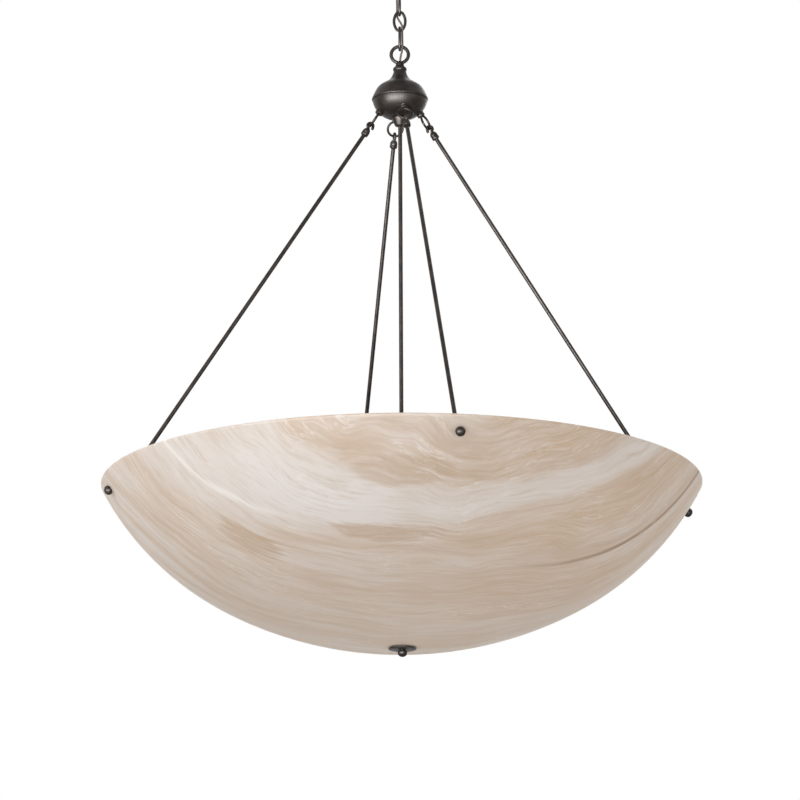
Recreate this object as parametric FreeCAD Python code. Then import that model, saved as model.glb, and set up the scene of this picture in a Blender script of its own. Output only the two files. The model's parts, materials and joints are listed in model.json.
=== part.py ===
"""Alabaster bowl pendant: ceiling canopy, chain, bronze hub, four hooked rods and a stone-look bowl.

Millimetres, +Z up. The origin is the middle of the ceiling box, in the plane of the ceiling, so the
whole light hangs below z = 0. The front rod points towards -Y, turned a little towards +X.
"""
import FreeCAD, Part

import math
import os

from FreeCAD import Placement, Rotation, Vector

# ---------------------------------------------------------------- driving dimensions (mm, degrees)
# Bowl: an outline of two tangent arcs, a flat crown below and a tighter side above it
BOWL_RADIUS = 458.6
BOWL_DEPTH = 251.0
BOWL_CROWN_ANGLE = 28.3
BOWL_RIM_ANGLE = 62.2
BOWL_WALL = 5.0
BOWL_HOLE_CLEARANCE = 0.4

# Canopy, its crossbar and the screw-collar loop that closes it
CANOPY_RADIUS = 66.0
CANOPY_HEIGHT = 27.0
CANOPY_WALL = 1.5
CANOPY_CROWN_RADIUS = 26.0
CANOPY_STEP_RADIUS = 58.0
CANOPY_STEP_HEIGHT = 6.0
COLLAR_RADIUS = 14.5
COLLAR_HEIGHT = 9.0
COLLAR_GROOVES = 16
COLLAR_GROOVE_RADIUS = 1.1
BAR_LENGTH = 106.0
BAR_WIDTH = 25.0
BAR_THICKNESS = 2.5
BAR_SLOT_SPACING = 83.0
BAR_SLOT_LENGTH = 12.0
BAR_SLOT_RADIUS = 2.3
NIPPLE_RADIUS = 4.8
NIPPLE_BORE_RADIUS = 2.9
LOCK_NUT_FLATS = 16.0
LOCK_NUT_HEIGHT = 4.5

# Rings and chain
LOOP_MEAN_RADIUS = 13.45
LOOP_WIRE = 5.6
LOOP_SHANK_RADIUS = 9.4
LOOP_NECK_RADIUS = 6.8
LOOP_NECK_LENGTH = 3.5
LINK_WIRE = 4.5
LINK_WIDTH = 22.2
LINK_LENGTH = 35.3
LINK_END_RADIUS = 6.3
CONNECTOR_LENGTH = 40.5
LINK_PLAY = 0.2

# Supply cord, woven through the chain
CORD_DIAMETER = 3.2
CORD_PLAY = 0.8

# Hub: two spun shells, the upper one lapping over the lower one
HUB_LIP_RADIUS = 44.0
HUB_LIP_HEIGHT = 8.5
HUB_LIP_LAP = 3.0
HUB_SHOULDER_RADIUS = 26.5
HUB_SHOULDER_HEIGHT = 30.0
HUB_NECK_RADIUS = 9.8
HUB_NECK_HEIGHT = 51.0
HUB_BEAD_RADIUS = 10.8
HUB_BEAD_HEIGHT = 9.5
HUB_LOWER_RADIUS = 40.2
HUB_LOWER_DEPTH = 25.5
HUB_WALL = 1.4
HUB_COLLAR_TOP_RADIUS = 13.2
HUB_COLLAR_RADIUS = 7.6
HUB_COLLAR_HEIGHT = 13.0

# Arms: ring loops on the hub, hooks, ferrules and rods
FRONT_ARM_AZIMUTH = 10.8
RING_MEAN_RADIUS = 11.8
RING_WIRE = 3.7
BARREL_RADIUS = 6.1
BARREL_LENGTH = 14.0
BARREL_STUD_RADIUS = 3.0
ARM_RING_RADIUS = 47.0
ARM_RING_DROP = 40.35
HOOK_WIRE = 4.6
HOOK_BEND_RADIUS = 4.3
HOOK_ENTRY_RADIUS = 3.2
HOOK_TAIL = 4.0
HOOK_PLAY = 0.05
HOOK_OPENING_ANGLE = 20.0
FERRULE_RADIUS = 6.0
FERRULE_LENGTH = 12.5
FERRULE_NECK_RADIUS = 3.7
ROD_DIAMETER = 6.4
SOCKET_DEPTH = 6.0
HUB_TO_RIM = 613.0

# Rod feet and the cap knobs that hold them to the bowl
KNOB_DROP = 22.5
KNOB_RADIUS = 7.3
KNOB_HEIGHT = 9.0
KNOB_NECK_RADIUS = 4.4
KNOB_NECK_LENGTH = 1.5
STUD_RADIUS = 2.4
LUG_PAD_RADIUS = 8.0
LUG_PAD_THICKNESS = 6.5
LUG_BOSS_RADIUS = 5.4
LUG_BOSS_LENGTH = 15.0
LUG_OFFSET = 9.3
LUG_STANDOFF = 5.5
LUG_BOTTOM = 1.6

# Stem, bowl seat and finial
STEM_BORE_RADIUS = 2.0
SEAT_WASHER_RADIUS = 30.0
SEAT_WASHER_THICKNESS = 2.0
GASKET_RADIUS = 15.0
GASKET_THICKNESS = 2.0
FINIAL_WASHER_RADIUS = 21.3
FINIAL_WASHER_THICKNESS = 1.6
FINIAL_WASHER_DISH = 1.2

# Lamp cluster inside the bowl
LAMP_COUNT = 6
CLUSTER_SHARE_OF_DEPTH = 0.554
CLUSTER_RADIUS = 40.0
CLUSTER_HEIGHT = 30.0
CLUSTER_WALL = 1.6
LAMP_TILT = 12.0
LAMP_ARM_RADIUS = 5.0
LAMP_ARM_LENGTH = 12.0
HOLDER_RADIUS = 19.5
HOLDER_REAR_RADIUS = 13.0
HOLDER_LENGTH = 48.0
HOLDER_WALL = 2.5
BULB_RADIUS = 30.0
BULB_LENGTH = 82.0
BULB_NECK_RADIUS = 14.0
BULB_CAP_RADIUS = 13.2
BULB_CAP_LENGTH = 27.0

# ---------------------------------------------------------------- places worked out from the above
ORIGIN = Vector(0, 0, 0)
UP = Vector(0, 0, 1)
EAST = Vector(1, 0, 0)
NORTH = Vector(0, 1, 0)

LOOP_OUTER_RADIUS = LOOP_MEAN_RADIUS + LOOP_WIRE / 2
CANOPY_LOOP_Z = -CANOPY_HEIGHT - COLLAR_HEIGHT - LOOP_NECK_LENGTH - LOOP_OUTER_RADIUS
LOOP_SEAT = (LOOP_WIRE + LINK_WIRE) / 2 + LINK_PLAY
LINK_SEAT = LINK_WIRE + LINK_PLAY

TOP_LINK_TOP_Z = CANOPY_LOOP_Z - LOOP_MEAN_RADIUS + LOOP_SEAT
TOP_LINK_BOTTOM_Z = TOP_LINK_TOP_Z - (CONNECTOR_LENGTH - LINK_WIRE)
MID_LINK_TOP_Z = TOP_LINK_BOTTOM_Z + LINK_SEAT
MID_LINK_BOTTOM_Z = MID_LINK_TOP_Z - (LINK_LENGTH - LINK_WIRE)
LOW_LINK_TOP_Z = MID_LINK_BOTTOM_Z + LINK_SEAT
LOW_LINK_BOTTOM_Z = LOW_LINK_TOP_Z - (CONNECTOR_LENGTH - LINK_WIRE)
HUB_LOOP_Z = LOW_LINK_BOTTOM_Z + LOOP_SEAT - LOOP_MEAN_RADIUS

HUB_BEAD_TOP = HUB_NECK_HEIGHT + HUB_BEAD_HEIGHT
SEAM_Z = HUB_LOOP_Z - LOOP_OUTER_RADIUS - LOOP_NECK_LENGTH / 2 - HUB_BEAD_TOP
RIM_Z = SEAM_Z - HUB_TO_RIM
BOWL_BOTTOM_Z = RIM_Z - BOWL_DEPTH
STEM_RADIUS = ROD_DIAMETER / 2
CORD_RADIUS = CORD_DIAMETER / 2


def bowl_arc_radii():
    """Radii of the crown and side arcs that reach the rim radius and the depth at the set angles."""
    crown, rim = math.radians(BOWL_CROWN_ANGLE), math.radians(BOWL_RIM_ANGLE)
    a, b = math.sin(crown), math.sin(rim) - math.sin(crown)
    c, d = 1 - math.cos(crown), math.cos(crown) - math.cos(rim)
    determinant = a * d - b * c
    return (BOWL_RADIUS * d - b * BOWL_DEPTH) / determinant, (a * BOWL_DEPTH - c * BOWL_RADIUS) / determinant


CROWN_ARC_RADIUS, SIDE_ARC_RADIUS = bowl_arc_radii()
CROWN_CENTRE_Z = BOWL_BOTTOM_Z + CROWN_ARC_RADIUS
ARC_DIFFERENCE = CROWN_ARC_RADIUS - SIDE_ARC_RADIUS
SIDE_CENTRE_R = ARC_DIFFERENCE * math.sin(math.radians(BOWL_CROWN_ANGLE))
SIDE_CENTRE_Z = CROWN_CENTRE_Z - ARC_DIFFERENCE * math.cos(math.radians(BOWL_CROWN_ANGLE))

# Wall direction at the knobs: the angle of the wall's outward normal below the horizontal
KNOB_ANGLE = math.acos((SIDE_CENTRE_Z - RIM_Z + KNOB_DROP) / SIDE_ARC_RADIUS)
KNOB_NORMAL = Vector(0, -math.sin(KNOB_ANGLE), -math.cos(KNOB_ANGLE))
WALL_DOWN = Vector(0, math.cos(KNOB_ANGLE), -math.sin(KNOB_ANGLE))
KNOB_SEAT = Vector(0, -SIDE_CENTRE_R, SIDE_CENTRE_Z) + KNOB_NORMAL * SIDE_ARC_RADIUS
KNOB_INSIDE = KNOB_SEAT - KNOB_NORMAL * BOWL_WALL

# The front rod's line, from the ring it hooks on to its foot
RING_SEAT = Vector(0, -ARM_RING_RADIUS, SEAM_Z - ARM_RING_DROP)
ROD_FOOT = KNOB_INSIDE - KNOB_NORMAL * LUG_STANDOFF + WALL_DOWN * LUG_OFFSET
ROD_UP = (RING_SEAT - ROD_FOOT).normalize()
RING_LIFT = HOOK_BEND_RADIUS - (HOOK_WIRE + RING_WIRE) / 2 - HOOK_PLAY
HOOK_STEM = math.sqrt(HOOK_BEND_RADIUS ** 2 + 2 * HOOK_ENTRY_RADIUS * HOOK_BEND_RADIUS)

ARMS = {"front": 0, "right": 90, "back": 180, "left": 270}


# ---------------------------------------------------------------- helpers
def segment(*points):
    """Straight edges through the points."""
    return [Part.LineSegment(a, b).toShape() for a, b in zip(points, points[1:])]


def arc(start, middle, end):
    """One circular edge through three points."""
    return [Part.Arc(start, middle, end).toShape()]


def rz(radius, z):
    """A point of a profile to be turned about the Z axis."""
    return Vector(radius, 0, z)


def turned(edges):
    """The solid that a closed profile in the XZ plane sweeps about the Z axis."""
    return Part.Face(Part.Wire(edges)).revolve(ORIGIN, UP, 360)


def tube(outer_radius, inner_radius, length, base=ORIGIN):
    """A plain tube that stands on base along +Z."""
    body = Part.makeCylinder(outer_radius, length, base)
    return body.cut(Part.makeCylinder(inner_radius, length, base))


def wire_bar(path_edges, diameter, start, direction):
    """Round bar along a path of tangent lines and arcs."""
    section = Part.Wire(Part.makeCircle(diameter / 2, start, direction))
    return Part.Wire(path_edges).makePipeShell([section], True, False)


def ring(mean_radius, wire, centre, normal):
    """A closed round ring."""
    return Part.makeTorus(mean_radius, wire / 2, centre, normal)


def hexagon(across_flats, height, z, bore_radius):
    """A hexagon nut that stands on the height z."""
    corner = across_flats / math.sqrt(3)
    corners = [Vector(corner * math.cos(k * math.pi / 3), corner * math.sin(k * math.pi / 3), z)
               for k in range(7)]
    body = Part.Face(Part.Wire(segment(*corners))).extrude(UP * height)
    return body.cut(Part.makeCylinder(bore_radius, height, Vector(0, 0, z)))


def on_axis(shape, origin, z_axis, x_axis=EAST):
    """The shape moved from its own frame to origin, with its +Z along z_axis."""
    z_dir = Vector(z_axis).normalize()
    y_dir = z_dir.cross(x_axis).normalize()
    x_dir = y_dir.cross(z_dir)
    placed = shape.copy()
    placed.Placement = Placement(origin, Rotation(x_dir, y_dir, z_dir, "ZXY"))
    return placed


def at_azimuth(shape, arm):
    """The front arm's shape turned to another arm's place."""
    placed = shape.copy()
    placed.rotate(ORIGIN, UP, FRONT_ARM_AZIMUTH + ARMS[arm])
    return placed


def save(name, *solids):
    """Write one sub-part, as separate solids where it has several."""
    shape = solids[0] if len(solids) == 1 else Part.makeCompound(list(solids))
    shape.exportStep("parts/%s.step" % name)


# ---------------------------------------------------------------- canopy group
def ceiling_canopy():
    """Spun dish with a stepped edge, open to the ceiling, with a hole for the loop's shank."""
    def outline(inset):
        edge, step, crown = CANOPY_RADIUS - inset, CANOPY_STEP_RADIUS - inset, CANOPY_CROWN_RADIUS
        floor = -CANOPY_HEIGHT + inset
        shoulder = -CANOPY_STEP_HEIGHT + inset
        bulge = rz((step + crown) / 2 + (step - crown) * 0.16, (shoulder + floor) / 2 - CANOPY_HEIGHT * 0.16)
        return rz(edge, 0), rz(edge, shoulder), rz(step, shoulder), bulge, rz(crown, floor)

    hole = LOOP_SHANK_RADIUS + BOWL_HOLE_CLEARANCE
    edge, corner, step, bulge, crown = outline(0)
    in_edge, in_corner, in_step, in_bulge, in_crown = outline(CANOPY_WALL)
    profile = (
        segment(edge, corner, step)
        + arc(step, bulge, crown)
        + segment(crown, rz(hole, crown.z), rz(hole, in_crown.z), in_crown)
        + arc(in_crown, in_bulge, in_step)
        + segment(in_step, in_corner, in_edge, edge)
    )
    return turned(profile)


def mounting_bar():
    """Flat crossbar with a slot at each end for the ceiling box's screws."""
    corner = Vector(-BAR_LENGTH / 2, -BAR_WIDTH / 2, -BAR_THICKNESS)
    bar = Part.makeBox(BAR_LENGTH, BAR_WIDTH, BAR_THICKNESS, corner)
    upright = [edge for edge in bar.Edges if abs(edge.tangentAt(edge.FirstParameter).z) > 0.9]
    bar = bar.makeFillet(BAR_WIDTH / 5, upright)
    bar = bar.cut(Part.makeCylinder(NIPPLE_RADIUS, BAR_THICKNESS, Vector(0, 0, -BAR_THICKNESS)))
    reach = BAR_SLOT_LENGTH / 2 - BAR_SLOT_RADIUS
    for side in (-1, 1):
        middle = Vector(side * BAR_SLOT_SPACING / 2, 0, -BAR_THICKNESS)
        corner = middle - Vector(reach, BAR_SLOT_RADIUS, 0)
        slot = Part.makeBox(2 * reach, 2 * BAR_SLOT_RADIUS, BAR_THICKNESS, corner)
        for end in (-reach, reach):
            slot = slot.fuse(Part.makeCylinder(BAR_SLOT_RADIUS, BAR_THICKNESS, middle + Vector(end, 0, 0)))
        bar = bar.cut(slot.removeSplitter())
    return bar


def canopy_nipple():
    """Threaded tube from the crossbar down into the loop's shank."""
    bottom = -CANOPY_HEIGHT - COLLAR_HEIGHT / 2
    return tube(NIPPLE_RADIUS, NIPPLE_BORE_RADIUS, -bottom, Vector(0, 0, bottom))


def bar_lock_nut():
    """Hexagon nut that locks the nipple under the crossbar."""
    return hexagon(LOCK_NUT_FLATS, LOCK_NUT_HEIGHT, -BAR_THICKNESS - LOCK_NUT_HEIGHT, NIPPLE_RADIUS)


def canopy_loop():
    """Cast ring with a hollow threaded shank; the cord leaves through the ring's crown."""
    ring_top = CANOPY_LOOP_Z + LOOP_OUTER_RADIUS
    shank_top = -CANOPY_HEIGHT + COLLAR_HEIGHT
    neck_top = -CANOPY_HEIGHT - COLLAR_HEIGHT
    neck_foot = rz(LOOP_NECK_RADIUS, ring_top - LOOP_WIRE / 2)
    shank = turned(
        segment(rz(0, neck_foot.z), neck_foot, rz(LOOP_SHANK_RADIUS, neck_top),
                rz(LOOP_SHANK_RADIUS, shank_top), rz(0, shank_top), rz(0, neck_foot.z)))
    body = ring(LOOP_MEAN_RADIUS, LOOP_WIRE, Vector(0, 0, CANOPY_LOOP_Z), NORTH).fuse(shank)
    socket_foot = -CANOPY_HEIGHT - COLLAR_HEIGHT / 2
    body = body.cut(Part.makeCylinder(NIPPLE_RADIUS, shank_top - socket_foot, Vector(0, 0, socket_foot)))
    return body.cut(cord_bore(ring_top - 2 * LOOP_WIRE, socket_foot)).removeSplitter()


def cord_bore(bottom, top):
    """Cutter for a hole on the axis that the cord passes with a little play."""
    return Part.makeCylinder(CORD_RADIUS + CORD_PLAY / 2, top - bottom, Vector(0, 0, bottom))


def canopy_collar():
    """Grooved ring nut that screws up the shank and holds the canopy to the ceiling."""
    top, bottom = -CANOPY_HEIGHT, -CANOPY_HEIGHT - COLLAR_HEIGHT
    bevel = COLLAR_RADIUS / 10
    collar = turned(
        segment(rz(LOOP_SHANK_RADIUS, top), rz(LOOP_SHANK_RADIUS, bottom), rz(COLLAR_RADIUS - bevel, bottom),
                rz(COLLAR_RADIUS, bottom + bevel), rz(COLLAR_RADIUS, top), rz(LOOP_SHANK_RADIUS, top)))
    for k in range(COLLAR_GROOVES):
        angle = 2 * math.pi * k / COLLAR_GROOVES
        place = Vector(COLLAR_RADIUS * math.cos(angle), COLLAR_RADIUS * math.sin(angle), bottom)
        collar = collar.cut(Part.makeCylinder(COLLAR_GROOVE_RADIUS, COLLAR_HEIGHT * 0.8, place))
    return collar


# ---------------------------------------------------------------- chain and cord
def chain_link(length, top_z, turned_quarter):
    """Oval link of round wire: two small end arcs and two wide side arcs, all tangent."""
    half_long, half_wide = (length - LINK_WIRE) / 2, (LINK_WIDTH - LINK_WIRE) / 2
    end = LINK_END_RADIUS
    side = (half_wide ** 2 + (half_long - end) ** 2 - end ** 2) / (2 * (half_wide - end))
    end_centre, side_centre = half_long - end, side - half_wide
    lean = math.atan2(end_centre, side_centre)
    joint_x = -side_centre + side * math.cos(lean)
    joint_z = side * math.sin(lean)
    path = (
        arc(Vector(joint_x, 0, joint_z), Vector(0, 0, half_long), Vector(-joint_x, 0, joint_z))
        + arc(Vector(-joint_x, 0, joint_z), Vector(-half_wide, 0, 0), Vector(-joint_x, 0, -joint_z))
        + arc(Vector(-joint_x, 0, -joint_z), Vector(0, 0, -half_long), Vector(joint_x, 0, -joint_z))
        + arc(Vector(joint_x, 0, -joint_z), Vector(half_wide, 0, 0), Vector(joint_x, 0, joint_z))
    )
    start_direction = Vector(-math.sin(lean), 0, math.cos(lean))
    link = wire_bar(path, LINK_WIRE, Vector(joint_x, 0, joint_z), start_direction)
    if turned_quarter:
        link.rotate(ORIGIN, UP, 90)
    link.translate(Vector(0, 0, top_z - half_long))
    return link


def cord_route():
    """Points of the cord's route, from the nipple down through the chain to the hub's neck.

    It leaves the canopy's loop on the axis, runs down beside the upper link, crosses the middle
    link from behind to the front, runs down beside the lower link and dives into the hub's loop.
    """
    beside = LINK_WIRE / 2 + CORD_RADIUS + CORD_PLAY / 4
    past_loop = LOOP_WIRE / 2 + CORD_RADIUS + CORD_PLAY / 4
    past_link = LINK_WIRE / 2 + CORD_RADIUS + CORD_PLAY / 4
    loop_bar = CANOPY_LOOP_Z - LOOP_MEAN_RADIUS
    hub_bar = HUB_LOOP_Z + LOOP_MEAN_RADIUS
    return [
        Vector(0, 0, -BAR_THICKNESS / 2),
        Vector(0, 0, CANOPY_LOOP_Z + LOOP_MEAN_RADIUS - 6.5),
        Vector(-beside - 0.2, past_loop + 0.8, loop_bar + 7),
        Vector(-beside - 0.2, past_loop + 0.2, loop_bar - 5),
        Vector(-beside, past_link - 0.6, MID_LINK_TOP_Z + 13),
        Vector(-beside, past_link + 1.1, MID_LINK_TOP_Z + 0.25),
        Vector(-beside, past_link - 1.25, MID_LINK_TOP_Z - 8.25),
        Vector(beside, -past_link + 1.25, MID_LINK_BOTTOM_Z + 8.25),
        Vector(beside, -past_link - 1.1, MID_LINK_BOTTOM_Z - 0.25),
        Vector(beside, -past_link + 0.6, MID_LINK_BOTTOM_Z - 13),
        Vector(beside + 0.2, -past_loop - 0.2, hub_bar + 5),
        Vector(beside + 0.2, -past_loop - 0.8, hub_bar - 7),
        Vector(0, 0, HUB_LOOP_Z - LOOP_MEAN_RADIUS + 6.5),
        Vector(0, 0, SEAM_Z + HUB_NECK_HEIGHT),
    ]


def rounded_route(points):
    """Straight runs joined by tangent arcs of 0.45 of the shorter run; also gives the arc radii."""
    edges, radii, here = [], [], points[0]
    for before, corner, after in zip(points, points[1:], points[2:]):
        into, out = (corner - before), (after - corner)
        turn = into.getAngle(out)
        reach = 0.45 * min(into.Length, out.Length)
        start = corner - Vector(into).normalize() * reach
        end = corner + Vector(out).normalize() * reach
        radius = reach / math.tan(turn / 2)
        inward = (Vector(out).normalize() - Vector(into).normalize()).normalize()
        middle = corner + inward * (radius / math.cos(turn / 2) - radius)
        edges += segment(here, start) + arc(start, middle, end)
        radii.append(radius)
        here = end
    return edges + segment(here, points[-1]), radii


def cord_pieces():
    """The cord in four stretches, cut at the middle of each link, one for each joint it crosses."""
    points = cord_route()
    edges, radii = rounded_route(points)
    print("cord: length %.1f, arc radii %s" % (sum(e.Length for e in edges), ["%.1f" % r for r in radii]))
    cord = wire_bar(edges, CORD_DIAMETER, points[0], Vector(0, 0, 1))
    cuts = [0, (TOP_LINK_TOP_Z + TOP_LINK_BOTTOM_Z) / 2, (MID_LINK_TOP_Z + MID_LINK_BOTTOM_Z) / 2,
            (LOW_LINK_TOP_Z + LOW_LINK_BOTTOM_Z) / 2, SEAM_Z]
    half = LINK_WIDTH
    pieces = []
    for upper, lower in zip(cuts, cuts[1:]):
        band = Part.makeBox(2 * half, 2 * half, upper - lower, Vector(-half, -half, lower))
        pieces.append(cord.common(band))
    return pieces


# ---------------------------------------------------------------- hub
def hub_loop():
    """Cast ring on a short neck that screws on the hub's tube, bored for the cord."""
    neck_foot = SEAM_Z + HUB_BEAD_TOP
    neck_top = HUB_LOOP_Z - LOOP_MEAN_RADIUS
    tip_radius = LOOP_WIRE / 2 + CORD_RADIUS
    neck = Part.makeCone(LOOP_NECK_RADIUS, tip_radius, neck_top - neck_foot, Vector(0, 0, neck_foot))
    body = ring(LOOP_MEAN_RADIUS, LOOP_WIRE, Vector(0, 0, HUB_LOOP_Z), NORTH).fuse(neck)
    return body.cut(cord_bore(neck_foot, neck_top + LOOP_WIRE)).removeSplitter()


def hub_neck_collar():
    """Turned bead between the loop and the upper shell."""
    foot, top = SEAM_Z + HUB_NECK_HEIGHT, SEAM_Z + HUB_BEAD_TOP
    waist = foot + HUB_BEAD_HEIGHT * 0.7
    profile = (
        segment(rz(NIPPLE_RADIUS, foot), rz(HUB_NECK_RADIUS, foot))
        + arc(rz(HUB_NECK_RADIUS, foot), rz(HUB_BEAD_RADIUS, foot + HUB_BEAD_HEIGHT * 0.33),
              rz(HUB_NECK_RADIUS - 1, waist))
        + segment(rz(HUB_NECK_RADIUS - 1, waist), rz(LOOP_NECK_RADIUS, top), rz(NIPPLE_RADIUS, top),
                  rz(NIPPLE_RADIUS, foot))
    )
    return turned(profile)


def hub_upper_outline(inset):
    """Lip, dome and trumpet neck of the upper shell, moved inwards by inset."""
    lip = HUB_LIP_RADIUS - inset
    shoulder = HUB_SHOULDER_RADIUS - inset * 0.5
    drop = inset * 0.9
    return [
        rz(lip - 2.3, 0), rz(lip, HUB_LIP_HEIGHT * 0.47), rz(lip - 1.9, HUB_LIP_HEIGHT),
        rz(HUB_LIP_RADIUS - 6.6 - inset, HUB_SHOULDER_HEIGHT * 0.64),
        rz(shoulder, HUB_SHOULDER_HEIGHT - drop),
        rz(HUB_NECK_RADIUS + 6.0 - inset * 0.8, HUB_SHOULDER_HEIGHT + 7.2 - inset * 0.6),
        rz(HUB_NECK_RADIUS - inset, HUB_NECK_HEIGHT),
    ]


def hub_upper_shell():
    """Spun upper shell: a rolled lip, a low dome and a trumpet-shaped neck."""
    out, inn = hub_upper_outline(0), hub_upper_outline(HUB_WALL)
    profile = (
        arc(*out[0:3]) + arc(*out[2:5]) + arc(*out[4:7])
        + segment(out[6], inn[6])
        + arc(inn[6], inn[5], inn[4]) + arc(inn[4], inn[3], inn[2]) + arc(inn[2], inn[1], inn[0])
        + segment(inn[0], out[0])
    )
    shell = turned(profile)
    shell.translate(Vector(0, 0, SEAM_Z))
    return shell


def hub_lower_outline(inset):
    """Side of the lower shell, from inside the upper lip to the bottom collar."""
    return [
        rz(HUB_LOWER_RADIUS - inset, HUB_LIP_LAP),
        rz(HUB_LOWER_RADIUS - 5.6 - inset * 0.8, -HUB_LOWER_DEPTH * 0.55 + inset * 0.6),
        rz(HUB_COLLAR_TOP_RADIUS, -HUB_LOWER_DEPTH + inset),
    ]


def arm_axis_cutter(radius):
    """Cutter for the four stud holes in the lower shell."""
    hole = on_axis(Part.makeCylinder(radius, 60), RING_SEAT, ROD_UP)
    cutter = at_azimuth(hole, "front")
    for arm in ("right", "back", "left"):
        cutter = cutter.fuse(at_azimuth(hole, arm))
    return cutter


def hub_lower_shell():
    """Spun lower shell that the four ring barrels sit in."""
    out, inn = hub_lower_outline(0), hub_lower_outline(HUB_WALL)
    bottom, inner_bottom = out[2].z, inn[2].z
    profile = (
        arc(*out)
        + segment(out[2], rz(NIPPLE_RADIUS, bottom), rz(NIPPLE_RADIUS, inner_bottom), inn[2])
        + arc(inn[2], inn[1], inn[0])
        + segment(inn[0], out[0])
    )
    shell = turned(profile)
    shell.translate(Vector(0, 0, SEAM_Z))
    return shell.cut(arm_axis_cutter(BARREL_RADIUS))


def hub_tube():
    """Threaded tube that ties the loop, both shells and the bottom collar together."""
    bottom = SEAM_Z - HUB_LOWER_DEPTH - HUB_COLLAR_HEIGHT / 2
    top = SEAM_Z + HUB_BEAD_TOP
    return tube(NIPPLE_RADIUS, NIPPLE_BORE_RADIUS, top - bottom, Vector(0, 0, bottom))


def hub_bottom_collar():
    """Turned nut under the hub; its lower bore takes the stem."""
    top, bottom = SEAM_Z - HUB_LOWER_DEPTH, SEAM_Z - HUB_LOWER_DEPTH - HUB_COLLAR_HEIGHT
    seat = top - HUB_COLLAR_HEIGHT / 2
    belly = rz((HUB_COLLAR_TOP_RADIUS + HUB_COLLAR_RADIUS) / 2 + 1.2, (top + bottom) / 2)
    profile = (
        segment(rz(NIPPLE_RADIUS, top), rz(HUB_COLLAR_TOP_RADIUS, top))
        + arc(rz(HUB_COLLAR_TOP_RADIUS, top), belly, rz(HUB_COLLAR_RADIUS, bottom))
        + segment(rz(HUB_COLLAR_RADIUS, bottom), rz(STEM_RADIUS, bottom), rz(STEM_RADIUS, seat),
                  rz(NIPPLE_RADIUS, seat), rz(NIPPLE_RADIUS, top))
    )
    return turned(profile)


# ---------------------------------------------------------------- arms
# Each arm piece is made in its own frame: origin at the foot of the ring, +Z up the rod's line,
# X along the ring's width, +Y towards the inside of the light.
def place_arm(shape, arm):
    """An arm piece moved from its own frame to its place on the light."""
    return at_azimuth(on_axis(shape, RING_SEAT, ROD_UP), arm)


def arm_loop(arm):
    """Ring with a barrel that seats in the lower shell and a stud that passes inside."""
    barrel_foot = RING_LIFT + 2 * RING_MEAN_RADIUS - RING_WIRE / 4
    bevel = BARREL_RADIUS / 6
    barrel_top = barrel_foot + BARREL_LENGTH
    barrel = turned(
        segment(rz(0, barrel_foot), rz(BARREL_RADIUS - bevel, barrel_foot),
                rz(BARREL_RADIUS, barrel_foot + bevel), rz(BARREL_RADIUS, barrel_top),
                rz(BARREL_STUD_RADIUS, barrel_top),
                rz(BARREL_STUD_RADIUS, barrel_top + SOCKET_DEPTH), rz(0, barrel_top + SOCKET_DEPTH),
                rz(0, barrel_foot)))
    hoop = ring(RING_MEAN_RADIUS, RING_WIRE, Vector(0, 0, RING_LIFT + RING_MEAN_RADIUS), NORTH)
    return place_arm(hoop.fuse(barrel).removeSplitter(), arm)


def arm_loop_nut(arm):
    """Hexagon nut on the ring's stud, inside the hub."""
    foot = RING_LIFT + 2 * RING_MEAN_RADIUS - RING_WIRE / 4 + BARREL_LENGTH
    return place_arm(hexagon(BARREL_STUD_RADIUS * 3.2, SOCKET_DEPTH * 0.7, foot, BARREL_STUD_RADIUS), arm)


def rod_hook(arm):
    """Open hook over the ring's wire: up from the ferrule, out, over the wire and down to a tail."""
    bend, entry = HOOK_BEND_RADIUS, HOOK_ENTRY_RADIUS
    foot = Vector(0, 0, -HOOK_STEM - SOCKET_DEPTH)
    start = Vector(0, 0, -HOOK_STEM)
    entry_centre = Vector(0, -entry, -HOOK_STEM)
    meet = entry_centre * (bend / (bend + entry))
    half_turn = math.atan2(HOOK_STEM, entry) / 2
    entry_middle = entry_centre + Vector(0, math.cos(half_turn), math.sin(half_turn)) * entry
    opening = math.radians(HOOK_OPENING_ANGLE)
    end = Vector(0, math.cos(opening), math.sin(opening)) * bend
    tail = end + Vector(0, math.sin(opening), -math.cos(opening)) * HOOK_TAIL
    top = Vector(0, -math.sin(opening), math.cos(opening)) * bend
    path = segment(foot, start) + arc(start, entry_middle, meet) + arc(meet, top, end) + segment(end, tail)
    hook = wire_bar(path, HOOK_WIRE, foot, UP)
    tip = Part.makeSphere(HOOK_WIRE / 2, tail)
    return place_arm(hook.fuse(tip).removeSplitter(), arm)


def rod_ferrule(arm):
    """Turned coupling between the hook and the rod, blind-bored from both ends."""
    top = -HOOK_STEM
    foot = top - FERRULE_LENGTH
    widest = foot + FERRULE_LENGTH * 0.35
    rod_r, hook_r = ROD_DIAMETER / 2, HOOK_WIRE / 2
    rod_seat, hook_seat = foot + SOCKET_DEPTH, top - SOCKET_DEPTH
    shoulder = rz(FERRULE_RADIUS * 0.86, foot)
    profile = (
        segment(rz(0, rod_seat), rz(rod_r, rod_seat), rz(rod_r, foot), shoulder)
        + arc(shoulder, rz(FERRULE_RADIUS, widest), rz(FERRULE_NECK_RADIUS, top))
        + segment(rz(FERRULE_NECK_RADIUS, top), rz(hook_r, top), rz(hook_r, hook_seat), rz(0, hook_seat),
                  rz(0, rod_seat))
    )
    return place_arm(turned(profile), arm)


def rod(arm):
    """Straight round rod from the ferrule to the lug inside the bowl's rim."""
    top = -HOOK_STEM - FERRULE_LENGTH + SOCKET_DEPTH
    foot = -(RING_SEAT - ROD_FOOT).Length
    return place_arm(Part.makeCylinder(ROD_DIAMETER / 2, top - foot, Vector(0, 0, foot)), arm)


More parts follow.
